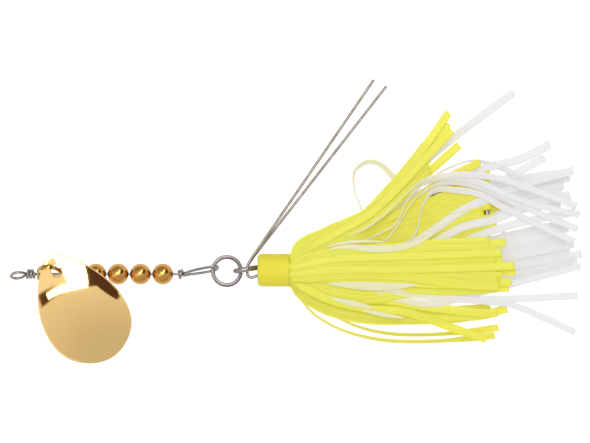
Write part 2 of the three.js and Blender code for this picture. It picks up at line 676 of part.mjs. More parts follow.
function sleeveEnds() {
  const start = (collarFront + sleeveRecess - hookEyeCentre.x) / hookAxis.x;
  const end = (collarBack - sleeveRecess - hookEyeCentre.x) / hookAxis.x;
  return [hookPlace(start, 0, 0), hookPlace(end, 0, 0)];
}

function sleeve() {
  const [start, end] = sleeveEnds();
  const inner = hookWire / 2 + runningGap;
  const overrun = hookAxis.clone().multiplyScalar(cutOverrun);
  const shell = toSolid(straightBar(start, end, inner + sleeveWall, 12));
  const bore = toSolid(straightBar(start.clone().sub(overrun), end.clone().add(overrun), inner, 12));
  return namedMesh('skirt_sleeve', toGeometry(shell.subtract(bore)), sleevePlastic);
}

// The collar: a rounded band with a slanted bore for the shank and its sleeve, and a slot for the guard's ends
function collar() {
  const radius = collarDiameter / 2;
  const profile = [new THREE.Vector2(0, 0), new THREE.Vector2(radius - collarRound, 0)];
  for (let step = 1; step <= 4; step += 1) {
    const angle = step / 4 * Math.PI / 2;
    profile.push(new THREE.Vector2(
      radius - collarRound + Math.sin(angle) * collarRound,
      collarRound - Math.cos(angle) * collarRound,
    ));
  }
  profile.push(new THREE.Vector2(radius, collarLength), new THREE.Vector2(0, collarLength));
  const body = new THREE.LatheGeometry(profile, 28);
  body.rotateZ(-Math.PI / 2);
  body.translate(collarFront, collarSide, hookAxisHeight);
  const boreRadius = hookWire / 2 + runningGap + sleeveWall + runningGap;
  const boreStart = hookPlace(hookEyeDiameter / 2 - cutOverrun, 0, 0);
  const boreEnd = hookPlace(hookEyeDiameter / 2 + collarLength + 2 * cutOverrun, 0, 0);
  let solid = toSolid(body).subtract(toSolid(straightBar(boreStart, boreEnd, boreRadius, 14)));
  for (const arm of guardArms) {
    const [end, mouth] = guardRootPoints(arm);
    const start = new THREE.Vector3(end.x + seatGap, end.y, end.z);
    const front = new THREE.Vector3(mouth.x - cutOverrun, mouth.y, mouth.z);
    solid = solid.subtract(toSolid(straightBar(start, front, guardWire / 2 + seatGap, 10)));
  }
  return namedMesh('collar', toGeometry(solid), collarRubber);
}

function guardArmBasePoint(arm) {
  return new THREE.Vector3(
    hookEyeCentre.x + arm.setback,
    hookEyeCentre.y + guardArmBase,
    hookAxisHeight + arm.level * guardSpacing / 2,
  );
}

// From the end inside the collar, out of its face, down and round through the hook's eye, up to the arm
function guardRootPoints(arm) {
  const height = hookAxisHeight + arm.level * guardSpacing / 2;
  const y = hookEyeCentre.y;
  const x = hookEyeCentre.x;
  const base = guardArmBasePoint(arm);
  const direction = directionInPlan(arm.angle);
  const end = base.clone().addScaledVector(direction, -seatGap / 2);
  const run = end.clone().addScaledVector(direction, -guardArmBase / 3);
  return [
    new THREE.Vector3(collarFront + guardSocketDepth, y - guardDrop, height),
    new THREE.Vector3(collarFront, y - guardDrop, height),
    new THREE.Vector3(collarFront - guardBendSag, y - guardDrop - guardBendSag / 4, height),
    new THREE.Vector3(x + guardEntryOffset, y - guardDrop - guardBendSag, height),
    new THREE.Vector3(x + guardTurnOffset, y - guardDrop, height),
    new THREE.Vector3(x + guardEyeOffset, y - guardDrop / 3, height),
    new THREE.Vector3(x + guardEyeOffset, y + guardDrop / 3, height),
    run,
    end,
  ];
}

function guardRoot(arm) {
  const points = guardRootPoints(arm);
  const bent = smoothPoints(points.slice(1), 18);
  const name = arm.name.replace('arm', 'root');
  return namedMesh(name, wireGeometry([points[0], ...bent], guardWire, 6), steel);
}

function guardArm(arm) {
  const direction = directionInPlan(arm.angle);
  const base = guardArmBasePoint(arm);
  const start = base.clone().addScaledVector(direction, seatGap / 2);
  const end = base.clone().addScaledVector(direction, arm.length);
  return namedMesh(arm.name, wireGeometry([start, end], guardWire, 6), steel);
}

// Height of a layer at a share of the skirt's length
function layerHeight(layer, share) {
  const rank = Math.abs(layer);
  const level = hookSlot + (rank - 1) * layerPitch;
  if (layer > 0) {
    return hookAxisHeight + level + skirtBulge * rank / layersPerSide * Math.sin(Math.PI * Math.min(share, 1));
  }
  return hookAxisHeight - level - skirtSettle * Math.min(1, share / widenShare);
}

// Roots of one layer stand side by side across the round mouth of the collar
function rootSide(strip) {
  const mates = strips.filter((other) => other.layer === strip.layer);
  const level = hookSlot + (Math.abs(strip.layer) - 1) * layerPitch;
  const reach = Math.sqrt(skirtRootRadius ** 2 - level ** 2) - stripRootWidth / 2;
  if (mates.length === 1) {
    return 0;
  }
  return reach * (1 - 2 * mates.indexOf(strip) / (mates.length - 1));
}

// Centre line of a strip: stations at even steps along a smooth curve
function stripStations(strip) {
  const side = rootSide(strip) / skirtLength;
  const planShares = [[0, side], [rootRunShare, side], ...strip.routeShares];
  const plan = planShares.map(([along, across]) => new THREE.Vector3(along, across, 0));
  const steps = strip.steps ?? stripSteps;
  const curve = new THREE.CatmullRomCurve3(plan, false, 'centripetal');
  const stations = [];
  for (let step = 0; step <= steps; step += 1) {
    const share = step / steps;
    const point = curve.getPointAt(share);
    const rise = (strip.riseShare ?? 0) * archRise * bump(share, riseCentreShare, riseSpreadShare);
    stations.push(new THREE.Vector3(
      skirtRoot.x + point.x * skirtLength,
      skirtRoot.y + point.y * skirtLength,
      layerHeight(strip.layer, point.x) + rise,
    ));
  }
  return stations;
}

function stripGeometry(strip) {
  const stations = stripStations(strip);
  const steps = stations.length - 1;
  const positions = [];
  stations.forEach((centre, step) => {
    const share = step / steps;
    const before = stations[Math.max(step - 1, 0)];
    const after = stations[Math.min(step + 1, steps)];
    const tangent = step === 0 ? new THREE.Vector3(1, 0, 0) : after.clone().sub(before).normalize();
    const level = up.clone().cross(tangent).normalize();
    const turned = bump(share, strip.rollShare ?? rollCentreShare, rollSpreadShare);
    const across = level.applyAxisAngle(tangent, THREE.MathUtils.degToRad(strip.roll ?? 0) * turned);
    const normal = tangent.clone().cross(across);
    const widen = Math.min(1, share / widenShare);
    const half = (stripRootWidth + (stripWidth - stripRootWidth) * widen) / 2;
    for (const [side, face] of [[1, -1], [1, 1], [-1, 1], [-1, -1]]) {
      const corner = centre.clone()
        .addScaledVector(across, side * half)
        .addScaledVector(normal, face * stripThickness / 2);
      positions.push(corner.x, corner.y, corner.z);
    }
  });
  return barGeometry(positions, steps);
}

function skirt() {
  const group = new THREE.Group();
  for (const strip of strips) {
    const material = strip.name.startsWith('white') ? whiteVinyl : yellowVinyl;
    group.add(namedMesh(`strip_${strip.name}`, stripGeometry(strip), material));
  }
  return group;
}

const bait = new THREE.Group();
bait.add(wireShaft(), clevis(), blade(), splitRing(), hook(), sleeve(), collar(), skirt());
for (let index = 0; index < beadCount; index += 1) {
  bait.add(bead(index));
}
for (const arm of guardArms) {
  bait.add(guardRoot(arm), guardArm(arm));
}

// The origin is under the middle of the bait, on the surface that it lies on
const extent = new THREE.Box3().setFromObject(bait, true);
const middle = extent.getCenter(new THREE.Vector3());
bait.position.set(-middle.x, -middle.y, -extent.min.z);
const part = new THREE.Group();
part.add(bait);
part.updateMatrixWorld(true);

export default part;
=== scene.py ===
"""Looks for a skirted spinner bait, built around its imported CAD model.

Lengths are in millimetres until a mesh is made, and in metres in the studio. The bait's own frame has x = 0
at the front of the line eye, y = 0 on the shaft's axis and z = 0 at the surface that the bait lies on.
"""

import math

import bpy
import numpy as np
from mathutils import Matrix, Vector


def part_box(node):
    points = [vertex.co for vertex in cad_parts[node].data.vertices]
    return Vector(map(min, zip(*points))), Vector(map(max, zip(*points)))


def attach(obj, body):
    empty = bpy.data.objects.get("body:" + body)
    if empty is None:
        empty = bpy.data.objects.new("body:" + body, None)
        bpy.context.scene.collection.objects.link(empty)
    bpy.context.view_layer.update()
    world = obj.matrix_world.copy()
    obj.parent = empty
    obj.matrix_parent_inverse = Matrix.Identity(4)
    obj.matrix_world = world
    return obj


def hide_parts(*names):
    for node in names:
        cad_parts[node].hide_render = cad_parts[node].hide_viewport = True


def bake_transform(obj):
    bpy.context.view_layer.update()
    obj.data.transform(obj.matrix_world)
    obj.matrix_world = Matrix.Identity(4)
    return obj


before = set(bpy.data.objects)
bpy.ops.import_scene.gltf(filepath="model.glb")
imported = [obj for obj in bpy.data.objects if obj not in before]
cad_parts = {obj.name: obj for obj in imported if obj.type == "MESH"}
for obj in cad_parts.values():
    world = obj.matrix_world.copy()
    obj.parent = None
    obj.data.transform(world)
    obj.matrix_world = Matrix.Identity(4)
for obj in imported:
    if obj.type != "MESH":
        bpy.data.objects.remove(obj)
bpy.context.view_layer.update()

# The photograph: what a pixel measures at the bait's middle level, and where the front of the line eye is
PIXEL = 0.2245
SHOT_WIDTH = 590
SHOT_CENTRE = (295, 221.5)
SHOT_LEVEL = 4.0
LINE_EYE_PIXEL = (8.6, 274.2)
LENS = 150.0
SENSOR = 36.0
FAR_CLIP = 10.0

# The studio by direction: a card below a slanted edge, a wall above it and two dark flags. Places are parts
# of the direction, a pair is where a flank begins and ends, and brightness is a share of lit white
EDGE_SLOPE = 0.43
EDGE_PLACE = 0.035
EDGE_SOFTNESS = 0.012
CARD_NEAR = 0.98
CARD_FAR = 0.7
WALL_SPAN = (0.1, 1.0)
WALL_NEAR = 1.12
WALL_FAR = 0.45
FLAG = 0.1
FLAG_COLOUR = (1.0, 0.55, 0.35, 1.0)
FLAG_HORIZON = (0.2, 0.34)
RIGHT_FLAG_LEAN = -0.5
RIGHT_FLAG_SIDE = (0.11, 0.13)
RIGHT_FLAG_END = (0.715, 0.69)
RIGHT_FLAG_FALL = 0.8
RIGHT_FLAG_FOOT = (0.56, 0.58)
RIGHT_FLAG_SEAT = (-0.03, -0.01)
LEFT_FLAG_SIDE = (-0.3, -0.5)
LEFT_FLAG_FOOT = (-0.045, -0.03)
LEFT_FLAG_HEAD = (0.064, 0.05)

# Strip lamps: the middles of both ends in the plane of the lamps, and the width
LAMP_HEIGHT = 0.75
LAMP_GLOW = 4.6
LAMPS = {
    "long lamp": ((-1.2, -0.473), (0.17, 0.117), 0.058),
    "broad lamp": ((-0.25, 0.09), (0.14, 0.25), 0.26),
    "side lamp": ((0.093, 0.162), (0.43, 0.975), 0.2),
}

# The floor lies well below the bait, so that the hook can hang down at its joint's limits
FLOOR_HALF = 1.2
FLOOR_DROP = 0.08
FLOOR_GREY = 0.35
FLOOR_GLOW = 0.76

# Sizes that the CAD source also uses
SHAFT_WIRE = 0.62
WRAP_GAP = 0.28
WRAP_PITCH = 0.74
LINE_EYE_LENGTH = 3.9
LINE_EYE_WIDTH = 3.5
LINE_EYE_TILT = math.radians(61)
LINE_EYE_DROOP = math.radians(8)
LINE_WRAP_TURNS = 2.5
RING_WRAP_TURNS = 1.25
RING_EYE_LENGTH = 8.4
RING_EYE_WIDTH = 3.95
RING_EYE_SWING = math.radians(10.3)
RING_EYE_TILT = math.radians(72)
LINE_EYE_SHARES = [(0.1, -0.4), (0.33, -0.86), (0.6, -1), (0.85, -0.7), (1, 0), (0.85, 0.7), (0.6, 1),
                   (0.33, 0.8), (0.1, 0.3)]
RING_EYE_SHARES = [(0.06, 0.22), (0.22, 0.66), (0.45, 0.95), (0.7, 1), (0.89, 0.9), (0.98, 0.55), (1, 0),
                   (0.98, -0.55), (0.89, -0.9), (0.7, -1), (0.45, -0.95), (0.2, -0.72)]
RUNNING_GAP = 0.3
CLEVIS_STRAP = 0.4
CLEVIS_WIDTH = 1.3
CLEVIS_EAR = 2.8
CLEVIS_SPAN = 5.05
CLEVIS_SHOULDER = 1.6
CLEVIS_HEIGHT = 5.75
CLEVIS_LEAN = math.radians(17)
CLEVIS_PLAY = 0.6
CLEVIS_THREAD_SHARE = 0.76
BEAD_COUNT = 5
BEAD_DIAMETER = 4.76
BEAD_GAP = 0.26
BEAD_CHAIN_PLAY = 1.2
BLADE_LENGTH = 27.4
BLADE_WIDTH = 19.6
BLADE_SHEET = 0.5
BLADE_DISH = 3.1
BLADE_HOLE = 2.5
BLADE_HOLE_PLACE = 3.4
BLADE_TILT = math.radians(14)
BLADE_SWING = math.radians(-61.4)
BLADE_BEAD_GAP = 0.32
BLADE_OUTLINE_SHARES = [(0, 0), (0.02, 0.19), (0.068, 0.325), (0.12, 0.46), (0.232, 0.68), (0.371, 0.87),
                        (0.506, 0.975), (0.633, 1), (0.74, 0.96), (0.832, 0.845), (0.92, 0.61),
                        (0.978, 0.32), (1, 0)]
DISH_SKEW = 1.12
DISH_SETTLE = 0.2
SPLIT_RING_DIAMETER = 7.2
SPLIT_RING_BAND = 0.9
SPLIT_RING_WIRE = 0.42
SPLIT_RING_PITCH = 0.5
SPLIT_RING_SWEEP = math.radians(673)
SPLIT_RING_START = math.radians(36)
SPLIT_RING_HEIGHT = 3.75
SPLIT_RING_LEAD = math.radians(-20)
LINK_GAP = 0.25
HOOK_LEAD = math.radians(5)
HOOK_WIRE = 1.15
HOOK_EYE = 5.3
HOOK_HEIGHT = 4.0
HOOK_TILT = math.radians(9.1)
HOOK_SHANK = 51.4
HOOK_BEND_RADIUS = 4.45
HOOK_BEND_TURN = math.radians(170.9)
HOOK_SPEAR = 7.2
HOOK_POINT = 3.0
HOOK_BARB = 1.7
HOOK_NECK_SHARES = [(1.04, 0.5), (1.32, 0.3), (1.75, 0)]
COLLAR_DIAMETER = 7.4
COLLAR_LENGTH = 7.2
COLLAR_ROUND = 1.1
COLLAR_DROP = 0.16
SEAT_GAP = 0.3
GUARD_SPACING = 0.8
GUARD_SOCKET = 3.6
GUARD_DROP = 1.4
GUARD_ARM_BASE = 3.5
GUARD_BEND_SAG = 0.42
GUARD_EYE_OFFSET = 0.6
GUARD_TURN_OFFSET = 0.81
GUARD_ENTRY_OFFSET = 1.56
# Each guard wire: over or under the hook's middle plane, setback, length and angle of its arm
GUARDS = {
    "outer": (1, 2.3, 47.4, math.radians(55.6)),
    "inner": (-1, 2.56, 47.8, math.radians(52.1)),
}
SKIRT_LENGTH = 65.5
STRIP_WIDTH = 1.5
STRIP_ROOT_WIDTH = 0.9
STRIP_THICKNESS = 0.17
LAYER_PITCH = 0.48
LAYERS_PER_SIDE = 6
HOOK_SLOT = 0.95
SKIRT_ROOT_RADIUS = 3.6
SKIRT_BULGE = 1.6
SKIRT_SETTLE = 0.2
WIDEN_SHARE = 0.12
ROOT_RUN_SHARE = 0.015

# Sizes of the looks alone. The clevis's bow is narrower and the guard's wire thicker than in the CAD, as
# they show in the photograph
CLEVIS_BOW_WIDTH = 0.85
STRAP_CORNER = 0.12
EAR_CORNER = 0.1
BEAD_MOUTH = 0.08
BEAD_LIP = 0.1
RIM_ROUND_SHARE = 0.9
HOLE_ROUND_SHARE = 0.6
SPOKE_EASE = 1.15
SPLIT_RING_CORNER = 0.16
HOOK_EYE_DEGREES = (334, 44)
HOOK_TIP_SHARE = 0.03
HOOK_TAPER = 0.85
BARB_START = 0.6
BARB_START_SHARE = 0.1
BARB_FOOT_SHARES = (0.9, 0.2)
BARB_HALF_SHARE = 0.22
BARB_TAPER_SHARE = 0.85
BARB_RIDGE_SHARE = 0.4
GUARD_WIRE = 0.64
FLAT_STRIP_WIDTH = 1.85
ROOT_START_SHARE = -0.02
STRIP_WIDTH_SHARES = (0.97, 1.06)
FILL_WIDTH_SHARES = (0.95, 1.05)
STRIP_SEED = 1000
FILL_SEED = 3000
FILL_ROOT_SHARE = 0.8
POINT_SHARE = 0.08
POINT_EASE = 0.8
SHINGLE_DEGREES = 6.0

# How finely the meshes are divided: points along a path, sides around it, and rows or spokes of a face
PATH_STEPS_PER_POINT = 60
EYE_STEPS = 260
SHAFT_STEPS = 60
SHAFT_SIDES = 18
WRAP_STEPS_PER_TURN = 9
CLEVIS_LEG_STEPS = 7
CLEVIS_ARCH_STEPS = 60
CLEVIS_STEPS = 110
EAR_SIDES = 48
RIM_STEPS = 3000
BLADE_SPOKES = 200
BLADE_ROWS = 46
DISH_SPOKES = 400
BEAD_STEPS = 40
BEAD_SIDES = 56
SPLIT_RING_STEPS = 260
HOOK_EYE_STEPS = 40
HOOK_BEND_STEPS = 50
HOOK_STEPS = 420
HOOK_POINT_STEPS = 13
HOOK_SIDES = 20
BARB_STEPS = 12
COLLAR_CORNER_STEPS = 10
COLLAR_STEPS = 11
COLLAR_SIDES = 96
GUARD_BEND_STEPS = 120
GUARD_ARM_STEPS = 90
GUARD_SIDES = 16
STRIP_STEPS = 110
FILL_STEPS = 90
GUIDE_STEPS = 400
GATHER_EDGE_STEPS = 200
GATHER_STEPS = 60
GATHER_SIDES = 240

# The collar's section as (along, radius): its mouth from the front end, and at the back end its lip, whose
# radius counts from the band's, and its bore. Its unevenness is a sum of waves: size, times round and phase
COLLAR_MOUTH = [(0.06, 0.9), (0.0, 1.5)]
COLLAR_LIP_LENGTH = 0.35
COLLAR_LIP = [(-0.12, -0.06), (0.0, -0.25)]
COLLAR_BORE = [(0.02, 1.5), (-0.05, 0.9)]
COLLAR_PLAIN = 1.0
COLLAR_SWAY_SHARES = [(0.006, 3, 0.7), (0.004, 7, 0)]
COLLAR_END_WAVES = [(0.1, 2, 1.1), (0.06, 5, 0)]

# The gathered root of the skirt, at shares of its length: its far and near side in the same shares, its
# half height, and pleats as (share of the depth, times round, turns along, phase)
GATHER_SPAN_SHARES = (-0.004, 0.2)
GATHER_FAR_SHARES = [(-0.004, 0.049), (0.006, 0.062), (0.019, 0.092), (0.04, 0.105), (0.07, 0.114),
                     (0.1, 0.128), (0.14, 0.147), (0.17, 0.135), (0.2, 0.1)]
GATHER_NEAR_SHARES = [(-0.004, -0.05), (0.006, -0.055), (0.02, -0.063), (0.045, -0.089), (0.08, -0.119),
                      (0.12, -0.14), (0.16, -0.15), (0.18, -0.135), (0.2, -0.11)]
GATHER_HEIGHTS = [(-0.004, 3.35), (0.02, 3.3), (0.06, 3.0), (0.12, 2.2), (0.2, 0.9)]
PLEAT_DEPTH_SHARE = 0.03
PLEAT_START_SHARE = 0.05
PLEAT_SHARES = [(1, 23, 12, 0), (0.6, 41, -20, 1.3)]

# Half of the bundle's width at shares of the skirt's length. Towards its sides, pitch and bulge shrink
BUNDLE_HALVES = [(0, 3.6), (0.03, 6.5), (0.08, 8), (0.2, 11.5), (0.4, 16), (0.7, 19), (1, 22)]
SIDE_PITCH_SHARE = 0.42
SIDE_BULGE_SHARE = 0.35

# A strip's section as (share of half the width, share of half the thickness), its cupping, the waver of its
# roll in degrees and in radians along it, the waviness of its width, and the slant and length of its cut
# end. A roll is the mean of its neighbours' at so many steps
SECTION_SHARES = [(-1, 0), (-0.96, 1), (-0.6, 1), (0, 1), (0.6, 1), (0.96, 1), (1, 0), (0.96, -1),
                  (0.6, -1), (0, -1), (-0.6, -1), (-0.96, -1)]
CUP_SHARE = 0.08
CUP_LEVEL_SHARE = 0.33
WAVER_ROLL = (2, 6)
WAVER_RUN = (5, 9)
WAVER_START_SHARE = 0.25
ROLL_MEAN = 9
EDGE_WAVE_SHARES = [(0.015, 37), (0.01, 83)]
SLANT_SHARE = 0.22
CUT_SHARE = 0.015
RISE_CENTRE_SHARE = 0.45
RISE_SPREAD_SHARE = 0.4
FLAT_ROLLS = [(1, 0)]

# Where the white strips are stained yellow, and where the yellow ones lie deep and get painted shade, a
# darker golden tint; in metres along an axis, and the untinted colour's least share
STAIN_END = (0.024, 0.04, 0.0)
DEEP_LAYER_SHADE = (0.0045, 0.0066, 0.45)

# How far red, green and blue light pass into the vinyl, relative to each other, and painted light: an even
# glow of each vinyl that lifts its shaded parts, standing in for light that passes through it
YELLOW_SCATTER = (1.0, 0.85, 0.1)
WHITE_SCATTER = (1.0, 0.98, 0.9)
YELLOW_PAINTED_LIGHT = (0.183, 0.168, 0.0105, 1)
WHITE_PAINTED_LIGHT = (0.34, 0.335, 0.335, 1)

# Each strip: its layer from the hook, and its route in thousandths of the skirt's length, along and across
STRIPS = {
    "yellow_01": (6, [(140, 38), (380, 48), (716, 62)]),
    "yellow_02": (6, [(140, 2), (380, 4), (585, 10), (760, 17)]),
    "yellow_03": (5, [(38, 60), (140, 120), (277, 199), (380, 298), (466, 390), (548, 479)]),
    "yellow_04": (5, [(140, 20), (380, 24), (720, 38)]),
    "yellow_05": (5, [(140, -28), (380, -41), (550, -48), (750, -38)]),
    "yellow_06": (4, [(27, 70), (80, 110), (175, 158), (264, 202), (353, 295), (449, 411), (538, 538)]),
    "white_01": (4, [(140, 88), (281, 159), (397, 265), (452, 305), (510, 320), (592, 327), (705, 315),
                     (808, 281), (976, 219)]),
    "yellow_07": (4, [(140, 42), (345, 65), (550, 80), (733, 96)]),
    "yellow_08": (4, [(140, -8), (380, -17), (764, -3)]),
    "yellow_21": (4, [(140, -40), (380, -62), (550, -72), (742, -58)]),
    "yellow_09": (3, [(38, 62), (190, 137), (330, 229), (414, 322), (483, 420), (534, 503)]),
    "white_02": (3, [(150, 50), (290, 120), (353, 155), (397, 240), (430, 277), (490, 309), (560, 316),
                     (637, 302), (720, 265), (850, 220), (986, 190)]),
    "white_03": (3, [(140, -30), (312, -65), (483, -92), (620, -102), (747, -116), (860, -161),
                     (971, -212)]),
    "yellow_10": (3, [(50, -60), (140, -82), (300, -100), (430, -120), (550, -135), (650, -146),
                      (705, -146)]),
    "yellow_11": (2, [(45, 58), (175, 116), (312, 199), (432, 301), (575, 428)]),
    "white_04": (2, [(150, 45), (320, 100), (366, 155), (412, 229), (454, 267), (500, 291), (558, 302),
                     (622, 291), (700, 262), (820, 207), (980, 141)]),
    "white_05": (2, [(160, 12), (360, 55), (430, 135), (444, 205), (475, 262), (510, 277), (558, 274),
                     (638, 262), (730, 212), (840, 158), (969, 98)]),
    "white_06": (2, [(137, -46), (260, -55), (387, -60), (517, -89), (630, -100), (800, -96), (980, -87)]),
    "yellow_12": (2, [(50, -65), (130, -108), (300, -150), (430, -165), (560, -160), (650, -155),
                      (738, -130)]),
    "yellow_13": (1, [(70, 58), (210, 112), (380, 205), (517, 305), (647, 370)]),
    "white_07": (1, [(158, 44), (312, 64), (425, 98), (497, 144), (586, 205), (678, 247), (825, 301),
                     (967, 341)]),
    "white_08": (1, [(160, 16), (330, 33), (486, 92), (586, 147), (702, 176), (815, 223), (955, 260)]),
    "white_09": (1, [(160, -12), (330, 1), (517, 62), (654, 123), (791, 164), (973, 200)]),
    "white_10": (1, [(140, -45), (312, -85), (483, -115), (586, -92), (688, -65), (990, 14)]),
    "yellow_14": (1, [(50, -62), (130, -100), (260, -130), (380, -140), (483, -172), (586, -209),
                      (668, -235)]),
    "white_11": (-1, [(50, 63), (175, 127), (310, 215), (400, 310), (449, 363), (558, 455), (764, 610)]),
    "yellow_15": (-1, [(100, 55), (226, 108), (380, 178), (534, 264), (685, 332)]),
    "yellow_16": (-1, [(120, 31), (280, 84), (414, 144), (550, 215), (678, 262)]),
    "yellow_17": (-1, [(140, 3), (320, 53), (460, 112), (586, 171), (723, 225)]),
    "yellow_18": (-1, [(140, -27), (320, 8), (449, 65), (586, 110), (709, 151)]),
    "yellow_19": (-1, [(15, -54), (45, -78), (95, -121), (170, -168), (250, -200), (340, -218), (450, -222),
                       (586, -214), (712, -197)]),
    "white_12": (-2, [(50, 55), (200, 120), (380, 220), (517, 300), (627, 332), (705, 360), (785, 380),
                      (890, 431)]),
    "white_13": (-2, [(100, 30), (250, 80), (420, 170), (586, 250), (723, 285), (960, 318)]),
    "white_14": (-2, [(140, 5), (450, 20), (740, 45), (973, 90)]),
    "yellow_20": (-2, [(12, -68), (35, -102), (80, -152), (160, -200), (250, -229), (340, -243),
                       (450, -246), (586, -238), (700, -224)]),
    "white_15": (-3, [(60, 50), (200, 110), (350, 210), (460, 300), (545, 351), (620, 375), (688, 363),
                      (747, 341), (808, 298), (877, 260), (962, 240)]),
    "white_16": (-3, [(140, 2), (450, 5), (750, 10), (1000, 56)]),
    "white_17": (-4, [(80, 40), (250, 100), (450, 190), (600, 250), (740, 315), (872, 387)]),
    "yellow_22": (-4, [(150, 10), (350, 50), (550, 100), (680, 110)]),
    "white_18": (-4, [(140, -20), (450, -30), (750, -20), (986, 31)]),
    "white_19": (-5, [(50, 45), (140, 103), (210, 160), (242, 200), (219, 274), (219, 339), (264, 372),
                      (308, 363), (356, 317), (440, 240), (570, 178), (740, 137)]),
    "yellow_23": (-5, [(140, -10), (350, -20), (550, -20), (680, -10)]),
    "yellow_24": (-5, [(60, -50), (180, -100), (350, -140), (500, -150), (620, -140)]),
    "yellow_25": (-6, [(140, 20), (350, 60), (520, 120), (630, 180)]),
}
# Strips that arch or stand on edge on the way: the arch's rise, and rolls in degrees at shares of the length
ON_EDGE = {
    "white_01": (2.2, [(0.12, 0), (0.22, 76), (0.46, 84), (0.57, 14), (1, 0)]),
    "white_02": (1.5, [(0.14, 0), (0.26, 80), (0.5, 82), (0.6, 12), (1, 0)]),
    "white_04": (0.7, [(0.16, 0), (0.3, 80), (0.5, 84), (0.6, 18), (1, 0)]),
    "white_05": (0.4, [(0.3, 0), (0.4, 78), (0.5, 82), (0.6, 12), (1, 0)]),
    "white_15": (0, [(0.4, 0), (0.5, 74), (0.66, 78), (0.76, 10), (1, 0)]),
    "white_03": (0, [(0.2, 0), (0.28, 34), (0.4, 0), (1, 0)]),
    "white_06": (0, [(0.22, 0), (0.32, -34), (0.46, 0), (1, 0)]),
    "white_10": (0, [(0.18, 0), (0.27, 36), (0.38, 0), (1, 0)]),
    "yellow_19": (0, [(0.03, 0), (0.12, 76), (0.35, 72), (0.5, 62), (0.78, 62), (0.93, 10), (1, 0)]),
    "yellow_20": (0, [(0.03, 0), (0.12, 76), (0.35, 72), (0.5, 62), (0.8, 62), (0.95, 10), (1, 0)]),
    "white_19": (0, [(0.12, 0), (0.26, 74), (0.4, 80), (0.5, 42), (0.66, 30), (1, 0)]),
}
# Strips that start below their own layer and come up between the others: levels at shares of the length
CLIMBS = {
    "white_01": [(0, 1.3), (0.22, 1.3), (0.3, 4), (1, 4)],
    "white_02": [(0, 1.2), (0.28, 1.2), (0.36, 3), (1, 3)],
    "white_03": [(0, 1.0), (0.25, 1.0), (0.31, 4.2), (0.5, 3.8), (1, 3)],
    "white_04": [(0, 0.9), (0.3, 0.9), (0.4, 2), (1, 2)],
    "white_05": [(0, 0.9), (0.36, 0.9), (0.46, 2), (1, 2)],
    "white_06": [(0, 1.2), (0.3, 1.2), (0.4, 3.4), (0.7, 2), (1, 2)],
    "white_10": [(0, 1.0), (0.24, 1.0), (0.31, 3.9), (0.5, 3.2), (1, 1)],
    "yellow_14": [(0, 1.0), (0.08, 4.9), (0.5, 4.4), (0.8, 2), (1, 1)],
}
